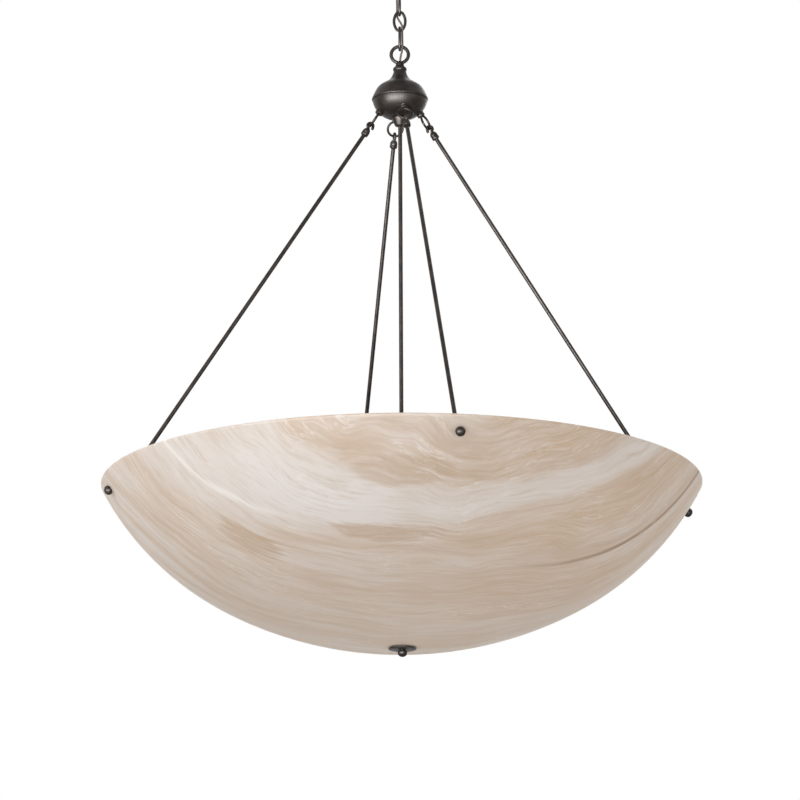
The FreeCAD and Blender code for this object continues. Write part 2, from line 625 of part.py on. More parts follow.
def bowl_cavity(inset):
    """The space inside the bowl's outline moved inwards by inset, up to the rim's plane."""
    crown, side = CROWN_ARC_RADIUS - inset, SIDE_ARC_RADIUS - inset
    rim_angle = math.acos((SIDE_CENTRE_Z - RIM_Z) / side)
    crown_angle = math.radians(BOWL_CROWN_ANGLE)

    def on_crown(angle):
        return rz(crown * math.sin(angle), CROWN_CENTRE_Z - crown * math.cos(angle))

    def on_side(angle):
        return rz(SIDE_CENTRE_R + side * math.sin(angle), SIDE_CENTRE_Z - side * math.cos(angle))

    profile = (
        arc(on_crown(0), on_crown(crown_angle / 2), on_crown(crown_angle))
        + arc(on_crown(crown_angle), on_side((crown_angle + rim_angle) / 2), on_side(rim_angle))
        + segment(on_side(rim_angle), rz(0, RIM_Z), on_crown(0))
    )
    return turned(profile)


def rim_lug(arm, cavity):
    """Cast lug inside the rim: a pad on the wall for the knob's stud and a boss for the rod."""
    outside = KNOB_INSIDE + KNOB_NORMAL * BOWL_WALL
    pad = on_axis(Part.makeCylinder(LUG_PAD_RADIUS, LUG_PAD_THICKNESS + BOWL_WALL), outside, -KNOB_NORMAL)
    boss_foot = ROD_FOOT - ROD_UP * LUG_BOTTOM
    boss = on_axis(Part.makeCylinder(LUG_BOSS_RADIUS, LUG_BOSS_LENGTH), boss_foot, ROD_UP)
    lug = pad.fuse(boss).common(cavity)
    lug = lug.cut(on_axis(Part.makeCylinder(ROD_DIAMETER / 2, LUG_BOSS_LENGTH * 2), ROD_FOOT, ROD_UP))
    lug = lug.cut(on_axis(Part.makeCylinder(STUD_RADIUS, 3 * BOWL_WALL), outside, -KNOB_NORMAL))
    return at_azimuth(lug.removeSplitter(), arm)


def cap_knob(stud_length, socket_depth):
    """Domed cap knob on a short neck: with a stud below its seat, or a blind socket in its foot."""
    foot, widest = KNOB_NECK_LENGTH, KNOB_NECK_LENGTH + KNOB_HEIGHT * 0.28
    top = KNOB_NECK_LENGTH + KNOB_HEIGHT
    shoulder = rz(KNOB_RADIUS * 0.9, foot)
    dome = (KNOB_RADIUS ** 2 + (top - widest) ** 2) / (2 * (top - widest))
    half_angle = math.asin(KNOB_RADIUS / dome) / 2
    dome_middle = rz(dome * math.sin(half_angle), top - dome + dome * math.cos(half_angle))
    if stud_length:
        root = [rz(0, -stud_length), rz(STUD_RADIUS, -stud_length), rz(STUD_RADIUS, 0)]
    else:
        root = [rz(0, socket_depth), rz(STEM_RADIUS, socket_depth), rz(STEM_RADIUS, 0)]
    profile = (
        segment(*root, rz(KNOB_NECK_RADIUS, 0), rz(KNOB_NECK_RADIUS, foot), shoulder, rz(KNOB_RADIUS, widest))
        + arc(rz(KNOB_RADIUS, widest), dome_middle, rz(0, top))
        + segment(rz(0, top), root[0])
    )
    return turned(profile)


def rim_knob(arm):
    """Cap knob outside the bowl, with the stud that passes the wall into the lug."""
    knob = cap_knob(BOWL_WALL + LUG_PAD_THICKNESS - LUG_BOTTOM, 0)
    return at_azimuth(on_axis(knob, KNOB_SEAT, KNOB_NORMAL), arm)


# ---------------------------------------------------------------- bowl, stem and finial
def bowl(cavity):
    """Thin stone-look bowl with a rounded rim, four stud holes and a hole for the stem."""
    shell = bowl_cavity(0).cut(cavity)
    rim_edges = [edge for edge in shell.Edges
                 if abs(edge.BoundBox.ZMin - RIM_Z) < 0.01 and edge.BoundBox.ZLength < 0.01]
    shell = shell.makeFillet(BOWL_WALL * 0.42, rim_edges)
    drill = Part.makeCylinder(STUD_RADIUS + BOWL_HOLE_CLEARANCE, 3 * BOWL_WALL)
    hole = on_axis(drill, KNOB_SEAT + KNOB_NORMAL * BOWL_WALL, -KNOB_NORMAL)
    for arm in ARMS:
        shell = shell.cut(at_azimuth(hole, arm))
    below = Vector(0, 0, BOWL_BOTTOM_Z - BOWL_WALL)
    stem_hole = Part.makeCylinder(STEM_RADIUS + BOWL_HOLE_CLEARANCE, 4 * BOWL_WALL, below)
    return shell.cut(stem_hole)


def crown_height(inset, radius):
    """Height of the bowl's crown arc, moved in by inset, at a distance from the axis."""
    arc_radius = CROWN_ARC_RADIUS - inset
    return CROWN_CENTRE_Z - math.sqrt(arc_radius ** 2 - radius ** 2)


SEAT_Z = crown_height(BOWL_WALL, SEAT_WASHER_RADIUS)
GASKET_Z = BOWL_BOTTOM_Z - GASKET_THICKNESS
WASHER_Z = GASKET_Z - FINIAL_WASHER_THICKNESS
STEM_TOP_Z = SEAM_Z - HUB_LOWER_DEPTH - HUB_COLLAR_HEIGHT / 2
STEM_FOOT_Z = WASHER_Z - KNOB_HEIGHT / 2


def centre_stem():
    """Thin tube from the hub's collar through the lamp cluster and the bowl to the finial."""
    return tube(STEM_RADIUS, STEM_BORE_RADIUS, STEM_TOP_Z - STEM_FOOT_Z, Vector(0, 0, STEM_FOOT_Z))


def bowl_seat_washer():
    """Flat washer inside the bowl's bottom."""
    return tube(SEAT_WASHER_RADIUS, STEM_RADIUS, SEAT_WASHER_THICKNESS, Vector(0, 0, SEAT_Z))


def bowl_seat_nut():
    """Hexagon nut on the stem that clamps the bowl down on the finial."""
    return hexagon(LOCK_NUT_FLATS * 0.75, LOCK_NUT_HEIGHT, SEAT_Z + SEAT_WASHER_THICKNESS, STEM_RADIUS)


def bowl_gasket():
    """Soft ring between the bowl and the finial's washer."""
    lift = crown_height(0, GASKET_RADIUS) - BOWL_BOTTOM_Z
    gasket = tube(GASKET_RADIUS, STEM_RADIUS, GASKET_THICKNESS + lift, Vector(0, 0, GASKET_Z))
    return gasket.cut(bowl_cavity(0))


def finial_washer():
    """Thin dished disc, hollow side up."""
    edge_z = GASKET_Z + FINIAL_WASHER_DISH - FINIAL_WASHER_THICKNESS
    flat = GASKET_RADIUS
    profile = segment(
        rz(STEM_RADIUS, WASHER_Z), rz(flat, WASHER_Z), rz(FINIAL_WASHER_RADIUS, edge_z),
        rz(FINIAL_WASHER_RADIUS, edge_z + FINIAL_WASHER_THICKNESS / 2), rz(flat, GASKET_Z),
        rz(STEM_RADIUS, GASKET_Z), rz(STEM_RADIUS, WASHER_Z))
    return turned(profile)


def finial_knob():
    """The same cap knob, screwed on the foot of the stem."""
    return on_axis(cap_knob(0, WASHER_Z - STEM_FOOT_Z), Vector(0, 0, WASHER_Z), -UP)


# ---------------------------------------------------------------- lamp cluster
CLUSTER_Z = RIM_Z - BOWL_DEPTH * CLUSTER_SHARE_OF_DEPTH
LAMP_AXIS = Vector(math.cos(math.radians(LAMP_TILT)), 0, math.sin(math.radians(LAMP_TILT)))
LAMP_ROOT = Vector(CLUSTER_RADIUS - CLUSTER_WALL / 2, 0, CLUSTER_Z)


def place_lamp(shape, index):
    """A lamp piece, made along +Z from its root, moved to its place round the cluster."""
    placed = on_axis(shape, LAMP_ROOT, LAMP_AXIS, NORTH)
    placed.rotate(ORIGIN, UP, 360 * index / LAMP_COUNT + FRONT_ARM_AZIMUTH)
    return placed


def cluster_body():
    """Hollow turned can on the stem, with a hole for each lamp's arm."""
    half, edge, wall = CLUSTER_HEIGHT / 2, CLUSTER_HEIGHT / 5, CLUSTER_WALL
    outer = turned(segment(
        rz(0, -half), rz(CLUSTER_RADIUS - edge, -half), rz(CLUSTER_RADIUS, -half + edge),
        rz(CLUSTER_RADIUS, half - edge), rz(CLUSTER_RADIUS - edge, half), rz(0, half), rz(0, -half)))
    inner = turned(segment(
        rz(0, -half + wall), rz(CLUSTER_RADIUS - edge - wall / 2, -half + wall),
        rz(CLUSTER_RADIUS - wall, -half + edge + wall / 2), rz(CLUSTER_RADIUS - wall, half - edge - wall / 2),
        rz(CLUSTER_RADIUS - edge - wall / 2, half - wall), rz(0, half - wall), rz(0, -half + wall)))
    can = outer.cut(inner)
    can.translate(Vector(0, 0, CLUSTER_Z))
    can = can.cut(Part.makeCylinder(STEM_RADIUS, CLUSTER_HEIGHT, Vector(0, 0, CLUSTER_Z - half)))
    for k in range(LAMP_COUNT):
        drill = Part.makeCylinder(LAMP_ARM_RADIUS, 2 * LAMP_ARM_LENGTH, Vector(0, 0, -LAMP_ARM_LENGTH))
        can = can.cut(place_lamp(drill, k))
    return can


def cluster_nut(side):
    """Hexagon nut on the stem above (+1) or below (-1) the cluster."""
    foot = CLUSTER_HEIGHT / 2 if side > 0 else -CLUSTER_HEIGHT / 2 - LOCK_NUT_HEIGHT
    return hexagon(LOCK_NUT_FLATS * 0.75, LOCK_NUT_HEIGHT, CLUSTER_Z + foot, STEM_RADIUS)


def lamp_holder(index):
    """Lamp holder on its short arm: a tapered back and a cup that takes the bulb's cap."""
    arm, front = LAMP_ARM_LENGTH, LAMP_ARM_LENGTH + HOLDER_LENGTH
    cup = HOLDER_RADIUS - HOLDER_WALL
    back = arm + HOLDER_LENGTH * 0.25
    body = turned(segment(
        rz(0, -CLUSTER_WALL), rz(LAMP_ARM_RADIUS, -CLUSTER_WALL), rz(LAMP_ARM_RADIUS, arm),
        rz(HOLDER_REAR_RADIUS, arm), rz(HOLDER_RADIUS, back), rz(HOLDER_RADIUS, front), rz(cup, front),
        rz(cup, front - BULB_CAP_LENGTH), rz(0, front - BULB_CAP_LENGTH), rz(0, -CLUSTER_WALL)))
    return place_lamp(body, index)


def bulb_cap(index):
    """Metal cap of a bulb, seated on the cup's floor."""
    foot = LAMP_ARM_LENGTH + HOLDER_LENGTH - BULB_CAP_LENGTH
    tip = BULB_CAP_LENGTH * 0.2
    return place_lamp(turned(segment(
        rz(0, foot), rz(BULB_CAP_RADIUS * 0.35, foot), rz(BULB_CAP_RADIUS, foot + tip),
        rz(BULB_CAP_RADIUS, foot + BULB_CAP_LENGTH), rz(0, foot + BULB_CAP_LENGTH), rz(0, foot))), index)


def bulb_glass(index):
    """Pear-shaped bulb: a neck that swells into a round end."""
    foot = LAMP_ARM_LENGTH + HOLDER_LENGTH
    centre = foot + BULB_LENGTH - BULB_RADIUS
    meet = math.radians(35)
    tangent = rz(BULB_RADIUS * math.cos(meet), centre - BULB_RADIUS * math.sin(meet))
    waist = rz((BULB_NECK_RADIUS + tangent.x) / 2 - 1.2, (foot + tangent.z) / 2 + 2)
    profile = (
        segment(rz(0, foot), rz(BULB_NECK_RADIUS, foot))
        + arc(rz(BULB_NECK_RADIUS, foot), waist, tangent)
        + arc(tangent, rz(BULB_RADIUS * math.cos(meet / 2), centre + BULB_RADIUS * math.sin(meet / 2)),
              rz(0, centre + BULB_RADIUS))
        + segment(rz(0, centre + BULB_RADIUS), rz(0, foot))
    )
    return place_lamp(turned(profile), index)


# ---------------------------------------------------------------- write the sub-parts
def main():
    """Build every sub-part and write it to its own file."""
    os.makedirs("parts", exist_ok=True)
    cavity = bowl_cavity(BOWL_WALL)

    save("ceiling_canopy", ceiling_canopy())
    save("mounting_bar", mounting_bar())
    save("bar_lock_nut", bar_lock_nut())
    save("canopy_nipple", canopy_nipple())
    save("canopy_loop", canopy_loop())
    save("canopy_collar", canopy_collar())

    save("connecting_link_top", chain_link(CONNECTOR_LENGTH, TOP_LINK_TOP_Z, True))
    save("chain_link", chain_link(LINK_LENGTH, MID_LINK_TOP_Z, False))
    save("connecting_link_bottom", chain_link(CONNECTOR_LENGTH, LOW_LINK_TOP_Z, True))
    for number, piece in enumerate(cord_pieces(), 1):
        save("supply_cord_%d" % number, piece)

    save("hub_loop", hub_loop())
    save("hub_neck_collar", hub_neck_collar())
    save("hub_upper_shell", hub_upper_shell())
    save("hub_lower_shell", hub_lower_shell())
    save("hub_tube", hub_tube())
    save("hub_bottom_collar", hub_bottom_collar())
    save("arm_loop_nuts", *[arm_loop_nut(arm) for arm in ARMS])

    for arm in ARMS:
        save("arm_loop_" + arm, arm_loop(arm))
        save("rod_hook_" + arm, rod_hook(arm))
        save("rod_" + arm, rod(arm))
    save("rod_ferrules", *[rod_ferrule(arm) for arm in ARMS])
    save("rim_lugs", *[rim_lug(arm, cavity) for arm in ARMS])
    save("rim_knobs", *[rim_knob(arm) for arm in ARMS])

    save("bowl", bowl(cavity))
    save("centre_stem", centre_stem())
    save("bowl_seat_washer", bowl_seat_washer())
    save("bowl_seat_nut", bowl_seat_nut())
    save("bowl_gasket", bowl_gasket())
    save("finial_washer", finial_washer())
    save("finial_knob", finial_knob())

    save("cluster_body", cluster_body())
    save("cluster_nuts", cluster_nut(1), cluster_nut(-1))
    for index in range(LAMP_COUNT):
        save("lamp_holder_%d" % (index + 1), lamp_holder(index))
        save("bulb_glass_%d" % (index + 1), bulb_glass(index))
    save("bulb_caps", *[bulb_cap(index) for index in range(LAMP_COUNT)])


main()
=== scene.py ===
"""Bowl pendant in a plain studio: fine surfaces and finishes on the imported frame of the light.

Shapes are worked out in millimetres in the frame's own axes: +Z up, the ceiling at z = 0, the viewer
at -Y. Meshes, cameras and lamps are in metres.
"""
import json
import logging
import math
from dataclasses import dataclass, field
from enum import Enum
from typing import Iterable, Optional, Sequence, Union

import bmesh
import bpy
import numpy as np
from mathutils import Matrix, Vector


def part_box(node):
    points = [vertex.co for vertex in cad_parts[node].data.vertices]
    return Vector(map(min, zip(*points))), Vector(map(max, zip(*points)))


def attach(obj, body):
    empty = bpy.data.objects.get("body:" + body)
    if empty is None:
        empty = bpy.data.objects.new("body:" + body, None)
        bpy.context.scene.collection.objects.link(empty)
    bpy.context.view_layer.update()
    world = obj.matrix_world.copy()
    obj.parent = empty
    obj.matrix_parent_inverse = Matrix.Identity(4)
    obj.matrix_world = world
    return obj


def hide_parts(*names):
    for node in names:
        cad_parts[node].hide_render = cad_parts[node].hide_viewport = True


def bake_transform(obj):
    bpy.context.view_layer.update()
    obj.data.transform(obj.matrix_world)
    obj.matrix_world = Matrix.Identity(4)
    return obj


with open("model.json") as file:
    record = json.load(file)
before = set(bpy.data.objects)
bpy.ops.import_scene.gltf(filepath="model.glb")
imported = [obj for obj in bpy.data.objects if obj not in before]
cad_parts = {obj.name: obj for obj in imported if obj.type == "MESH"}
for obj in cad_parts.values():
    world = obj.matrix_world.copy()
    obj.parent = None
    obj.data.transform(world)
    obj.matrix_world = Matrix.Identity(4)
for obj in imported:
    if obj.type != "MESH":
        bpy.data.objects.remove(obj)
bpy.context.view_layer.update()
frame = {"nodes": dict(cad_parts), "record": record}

LOG = logging.getLogger("bowl_pendant")
MM = 0.001
UP = np.array([0.0, 0.0, 1.0])
EAST = np.array([1.0, 0.0, 0.0])
NORTH = np.array([0.0, 1.0, 0.0])

MERGE = 2e-6
CORD_MERGE = 1e-7
CORD_SHARP = 50.0
RING_STEPS = 96
DOME_STEPS = 7
FIRST_AZIMUTH = 10.8
LOOP_MEAN = 13.45
LOOP_WIRE = 5.6
CHAIN_WIRE = 4.5
TUBE_RADIUS = 4.8
STEM_RADIUS = 3.2
BORE = 2.0

Array = np.ndarray
Number = Union[float, "Value"]
Colour = tuple[float, float, float]


class Side(Enum):
    """The four rods, with how far each is turned round the light from the front one, in degrees."""

    FRONT = 0
    RIGHT = 90
    BACK = 180
    LEFT = 270

    @property
    def word(self) -> str:
        """The side's name as the frame's nodes write it."""
        return self.name.lower()

    @property
    def outward(self) -> Array:
        """Level direction from the light's axis towards the rod."""
        angle = math.radians(FIRST_AZIMUTH + self.value)
        return np.array([math.sin(angle), -math.cos(angle), 0.0])


def node_box(node: str) -> tuple[Array, Array]:
    """Lowest and highest corner of a CAD node at rest.

    Args:
        node: the node's name.

    Returns:
        Two arrays of three millimetres.
    """
    low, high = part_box(node)
    return np.array(low) / MM, np.array(high) / MM


def span(node: str) -> tuple[float, float]:
    """Lowest and highest z of a CAD node at rest."""
    low, high = node_box(node)
    return low[2], high[2]


def unit(vector: Array) -> Array:
    """The vector at length one."""
    return vector / np.linalg.norm(vector, axis=-1, keepdims=True)


# ---------------------------------------------------------------- shapes
@dataclass(frozen=True)
class Seat:
    """A local frame: where a piece made round its own +Z axis goes on the light."""

    origin: Array
    z_axis: Array
    x_hint: Array = field(default_factory=lambda: EAST)

    def place(self, points: Array) -> Array:
        """Carry local points to the light: origin plus each coordinate times its axis.

        Args:
            points: an array whose last axis holds x, y, z.

        Returns:
            The same array in the frame's own axes.
        """
        z_dir = unit(self.z_axis)
        y_dir = unit(np.cross(z_dir, self.x_hint))
        x_dir = np.cross(y_dir, z_dir)
        return self.origin + points @ np.stack([x_dir, y_dir, z_dir])


class Outline:
    """A profile of radius and height, drawn as lines, arcs and soft curves, to be turned round an axis."""

    def __init__(self, radius: float, height: float) -> None:
        """Start the profile at a point."""
        self.points = [np.array([[radius, height]])]

    @property
    def last(self) -> Array:
        """The point that the profile has reached."""
        return self.points[-1][-1]

    def line(self, radius: float, height: float, steps: int = 2) -> "Outline":
        """Go straight to a point."""
        share = np.linspace(0, 1, steps + 1)[1:, None]
        self.points.append(self.last * (1 - share) + np.array([radius, height]) * share)
        return self

    def lines(self, *points: tuple[float, float]) -> "Outline":
        """Go straight from point to point."""
        for point in points:
            self.line(*point)
        return self

    def arc(self, via: tuple[float, float], end: tuple[float, float], steps: int = 14) -> "Outline":
        """Follow the circle through the last point, via and end.

        The centre is where the perpendicular bisectors meet; the angle runs evenly between the ends.
        """
        a, b, c = self.last, np.array(via), np.array(end)
        centre = np.linalg.solve(2 * np.stack([b - a, c - a]), np.array([b @ b - a @ a, c @ c - a @ a]))
        start, middle, stop = (math.atan2(*(p - centre)[::-1]) for p in (a, b, c))
        full = (stop - start) % math.tau
        if (middle - start) % math.tau > full:
            full -= math.tau
        angle = start + full * np.linspace(0, 1, steps + 1)[1:]
        radius = np.linalg.norm(a - centre)
        self.points.append(centre + radius * np.stack([np.cos(angle), np.sin(angle)], axis=1))
        return self

    def curve(self, *knots: tuple[float, float], steps: int = 6) -> "Outline":
        """Pass smoothly through the knots: a cubic between neighbours with central slopes (Catmull-Rom)."""
        knot = np.vstack([self.last, np.array(knots)])
        before = np.vstack([2 * knot[0] - knot[1], knot[:-2]])
        after = np.vstack([knot[2:], 2 * knot[-1] - knot[-2]])
        t = (np.arange(1, steps + 1) / steps)[None, :, None]
        p0, p1, p2, p3 = before[:, None], knot[:-1, None], knot[1:, None], after[:, None]
        run = 0.5 * (2 * p1 + (p2 - p0) * t + (2 * p0 - 5 * p1 + 4 * p2 - p3) * t**2
                     + (3 * p1 - p0 - 3 * p2 + p3) * t**3)
        self.points.append(run.reshape(-1, 2))
        return self

    def turned(self, segments: int = 64) -> Array:
        """Surface of the turned profile: x = r cos(t), y = r sin(t), z = height, t round the circle.

        Args:
            segments: how many steps make the circle.

        Returns:
            A grid of points, profile by circle by xyz.
        """
        profile = np.vstack(self.points)
        turn = np.arange(segments) * math.tau / segments
        radius, height = profile[:, :1], profile[:, 1:]
        return np.stack([radius * np.cos(turn), radius * np.sin(turn), height + 0 * turn], axis=-1)


def round_wire(path: Array, radius: Union[float, Array], reference: Array,
               sides: int) -> Array:
    """Surface of a round wire: each path point plus radius times a circle square to the path.

    Args:
        path: the wire's centreline, n by 3.
        radius: the wire's radius, one value or one for each point.
        reference: a direction never along the path, from which the circle's angle counts.
        sides: how many steps make the circle.

    Returns:
        A grid of points, path by circle by xyz.
    """
    tangent = unit(np.gradient(path, axis=0))
    across = unit(np.cross(reference, tangent))
    normal = np.cross(tangent, across)
    turn = np.arange(sides)[None, :, None] * math.tau / sides
    reach = np.broadcast_to(radius, len(path))[:, None, None]
    return path[:, None] + reach * (np.cos(turn) * across[:, None] + np.sin(turn) * normal[:, None])


def closed_wire(path: Array, radius: float, plane_normal: Array, sides: int) -> Array:
    """Surface of a closed flat loop of wire, with slopes taken across the join."""
    ahead, behind = np.roll(path, -1, axis=0), np.roll(path, 1, axis=0)
    tangent = unit(ahead - behind)
    outward = np.cross(tangent, plane_normal)
    turn = np.arange(sides)[None, :, None] * math.tau / sides
    return path[:, None] + radius * (np.cos(turn) * outward[:, None] + np.sin(turn) * plane_normal)


def standing_ring(mean_radius: float, height: float, wire: float, sides: int = 24) -> Array:
    """Round ring of wire in the XZ plane, its centreline at r cos(t), 0, height + r sin(t)."""
    turn = np.arange(RING_STEPS) * math.tau / RING_STEPS
    path = np.stack([mean_radius * np.cos(turn), 0 * turn, height + mean_radius * np.sin(turn)], axis=1)
    return closed_wire(path, wire / 2, NORTH, sides)


def rounded_ends(length: float, radius: float, steps: int = DOME_STEPS) -> tuple[Array, Array]:
    """Stations and radii of a straight bar with domed ends: radius = sqrt(R^2 - distance^2) there."""
    dome = np.sin(np.linspace(0, math.pi / 2, steps))
    stations = np.concatenate([radius * (1 - dome[::-1]), length - radius * (1 - dome)])
    radii = radius * np.concatenate([np.sqrt(1 - dome[::-1] ** 2), np.sqrt(1 - dome**2)])
    return stations, radii


def quads_of(index: Array) -> Array:
    """Faces between neighbours of a grid of point numbers, four numbers each."""
    corners = [index[:-1, :-1], index[:-1, 1:], index[1:, 1:], index[1:, :-1]]
    return np.stack(corners, axis=-1).reshape(-1, 4)


def welded(name: str, mesh: bpy.types.Mesh, merge: float, sharp: float,
           fill: bool = False) -> bpy.types.Object:
    """Finish a mesh and put it in the scene: doubles merged, faces outwards, smooth.

    Args:
        name: the piece's name.
        mesh: its mesh, in place.
        merge: points nearer than this become one.
        sharp: edges that turn by more than this many degrees stay crisp.
        fill: whether open ends get a face.

    Returns:
        The new object, at the origin.
    """
    work = bmesh.new()
    work.from_mesh(mesh)
    bmesh.ops.remove_doubles(work, verts=work.verts, dist=merge)
    if fill:
        bmesh.ops.holes_fill(work, edges=[edge for edge in work.edges if edge.is_boundary])
    bmesh.ops.recalc_face_normals(work, faces=work.faces)
    work.to_mesh(mesh)
    work.free()
    mesh.shade_smooth()
    mesh.set_sharp_from_angle(angle=math.radians(sharp))
    piece = bpy.data.objects.new(name, mesh)
    bpy.context.scene.collection.objects.link(piece)
    return piece


def mesh_of(name: str, *grids: Array, closed: Iterable[bool] = (), sharp: float = 32.0) -> bpy.types.Object:
    """One object from grids of points, with quads between neighbours and the circle closed.

    Args:
        name: the piece's name.
        grids: surfaces, rows by circle by xyz.
        closed: for each grid, whether its last row joins its first; else poles are merged.
        sharp: edges that turn by more than this many degrees stay crisp.

    Returns:
        The new object, linked to the scene, at the origin.
    """
    flags = list(closed) + [False] * len(grids)
    points, faces, offset = [], [], 0
    for grid, loops in zip(grids, flags):
        rows, columns = grid.shape[:2]
        index = offset + np.arange(rows * columns).reshape(rows, columns)
        below = np.vstack([index, index[:1]]) if loops else index
        points.append(grid.reshape(-1, 3))
        faces.append(quads_of(np.hstack([below, below[:, :1]])))
        offset += rows * columns
    mesh = bpy.data.meshes.new(name)
    mesh.from_pydata((np.vstack(points) * MM).tolist(), [], np.vstack(faces).tolist())
    return welded(name, mesh, MERGE, sharp)


# ---------------------------------------------------------------- finishes
class Value:
    """A node's output that can be added, subtracted, multiplied and divided like a number."""

    def __init__(self, graph: "Graph", socket: bpy.types.NodeSocket) -> None:
        """Keep the output and the graph that it belongs to."""
        self.graph, self.socket = graph, socket

    def __add__(self, other: Number) -> "Value":
        """The sum, as a Math node."""
        return self.graph.math("ADD", self, other)

    def __sub__(self, other: Number) -> "Value":
        """The difference, as a Math node."""
        return self.graph.math("SUBTRACT", self, other)

    def __mul__(self, other: Number) -> "Value":
        """The product, as a Math node."""
        return self.graph.math("MULTIPLY", self, other)

    def __truediv__(self, other: Number) -> "Value":
        """The quotient, as a Math node."""
        return self.graph.math("DIVIDE", self, other)


class Graph:
    """A short way to write a material's nodes."""

    def __init__(self, name: str) -> None:
        """Start a material with a Principled shader and Object coordinates."""
        self.material = bpy.data.materials.new(name)
        self.material.use_nodes = True
        self.tree = self.material.node_tree
        self.shader = self.tree.nodes["Principled BSDF"]
        self.place = self.node("TexCoord", {}, "Object")

    def node(self, kind: str, inputs: dict, output: Union[int, str] = 0, **settings: str) -> Value:
        """Add one node.

        Args:
            kind: its type, without the leading ShaderNode.
            inputs: a value, a colour or another node's output for each socket's name or number.
            output: the name or number of the output that is wanted.
            settings: the node's own properties.

        Returns:
            The output.
        """
        node = self.tree.nodes.new("ShaderNode" + kind)
        for name, value in settings.items():
            setattr(node, name, value)
        for name, value in inputs.items():
            self.link(value, node.inputs[name])
        return Value(self, node.outputs[output])

    def link(self, value: Union[Number, Sequence[float]], socket: bpy.types.NodeSocket) -> None:
        """Put a value, a colour or another node's output into a socket."""
        if isinstance(value, Value):
            self.tree.links.new(value.socket, socket)
        else:
            socket.default_value = (*value, 1.0) if socket.type == "RGBA" else value

    def set(self, **values: Union[Number, Sequence[float]]) -> None:
        """Set the shader's sockets; an underscore in a name stands for a space."""
        for name, value in values.items():
            self.link(value, self.shader.inputs[name.replace("_", " ")])

    def math(self, operation: str, a: Number, b: Number = 0.0) -> Value:
        """The result of one Math node."""
        return self.node("Math", {0: a, 1: b}, operation=operation)

    def stretch(self, scale: Sequence[float]) -> Value:
        """Object coordinates multiplied by scale."""
        return self.node("Mapping", {"Scale": scale, "Vector": self.place})

    def noise(self, vector: Value, scale: float, detail: float = 3.0, rough: float = 0.5,
              distort: float = 0.0) -> Value:
        """A Noise texture's value."""
        return self.node("TexNoise", {"Scale": scale, "Detail": detail, "Roughness": rough,
                                      "Distortion": distort, "Vector": vector})

    def split(self, vector: Value) -> list[Value]:
        """A vector's x, y and z as three outputs."""
        node = self.node("SeparateXYZ", {0: vector}).socket.node
        return [Value(self, socket) for socket in node.outputs]

    def vector(self, x: Number, y: Number, z: Number) -> Value:
        """A vector from three values."""
        return self.node("CombineXYZ", {0: x, 1: y, 2: z})

    def band(self, value: Number, low: float, high: float, start: float = 0.0, end: float = 1.0) -> Value:
        """A smooth step: start below low, end above high."""
        ends = {"From Min": low, "From Max": high, "To Min": start, "To Max": end}
        return self.node("MapRange", {"Value": value, **ends}, interpolation_type="SMOOTHSTEP")

    def near(self, value: Value, centre: float, width: float) -> Value:
        """One at the centre, falling smoothly to nought at width on both sides."""
        return self.band(self.math("ABSOLUTE", value - centre), 0.0, width, 1.0, 0.0)

    def mix(self, share: Number, a: Union[Number, Colour], b: Union[Number, Colour]) -> Value:
        """Colour a where share is nought and b where it is one."""
        return self.node("Mix", {0: share, 6: a, 7: b}, 2, data_type="RGBA")

    def bump(self, height: Value, strength: float, distance: float) -> None:
        """Raise the shader's normal by a height."""
        sockets = {"Strength": strength, "Distance": distance, "Height": height}
        self.link(self.node("Bump", sockets), self.shader.inputs["Normal"])


@dataclass(frozen=True)
class DarkBronze:
    """Brown-black bronze finish: a mottled patina with fine satin texture."""

    deep: Colour = (0.011, 0.0075, 0.006)
    brown: Colour = (0.033, 0.023, 0.0175)
    rub: Colour = (0.090, 0.062, 0.043)

    def material(self) -> bpy.types.Material:
        """Build the finish."""
        g = Graph("dark_bronze")
        cloud = g.noise(g.place, 55, 4, 0.6)
        fleck = g.noise(g.place, 900, 3, 0.6)
        patina = g.mix(g.band(cloud, 0.36, 0.66), self.deep, self.brown)
        rubbed = g.band(fleck, 0.62, 0.84) * g.band(cloud, 0.42, 0.70, 0.0, 0.6)
        g.set(Base_Color=g.mix(rubbed, patina, self.rub), Metallic=0.20, Specular_IOR_Level=0.22)
        g.set(Roughness=g.band(fleck, 0.25, 0.8, 0.37, 0.43))
        g.bump(g.noise(g.place, 1400, 2, 0.5), 0.03, 0.0001)
        return g.material


@dataclass(frozen=True)
class PlainMetal:
    """Plated or turned metal: fine lathe-like streaks and a little tarnish."""

    name: str
    light: Colour
    dull: Colour
    roughness: float

    def material(self) -> bpy.types.Material:
        """Build the finish."""
        g = Graph(self.name)
        streak = g.noise(g.stretch((60, 60, 2600)), 1.0, 2, 0.5)
        tarnish = g.band(g.noise(g.place, 140, 4, 0.6), 0.4, 0.7)
        g.set(Base_Color=g.mix(tarnish, self.light, self.dull), Metallic=0.95)
        g.set(Roughness=g.band(streak, 0.3, 0.7, self.roughness - 0.07, self.roughness + 0.08))
        g.bump(streak, 0.08, 0.0001)
        return g.material


@dataclass(frozen=True)
class Glazed:
    """White enamel or porcelain: near white, glossy, with a faint uneven glaze."""

    name: str
    white: Colour
    shade: Colour
    roughness: float

    def material(self) -> bpy.types.Material:
        """Build the finish."""
        g = Graph(self.name)
        cloud = g.noise(g.place, 90, 3, 0.5)
        g.set(Base_Color=g.mix(g.band(cloud, 0.35, 0.7), self.white, self.shade), Coat_Weight=0.25)
        g.set(Roughness=g.band(cloud, 0.3, 0.7, self.roughness, self.roughness + 0.08))
        g.bump(g.noise(g.place, 260, 2, 0.4), 0.06, 0.0003)
        return g.material


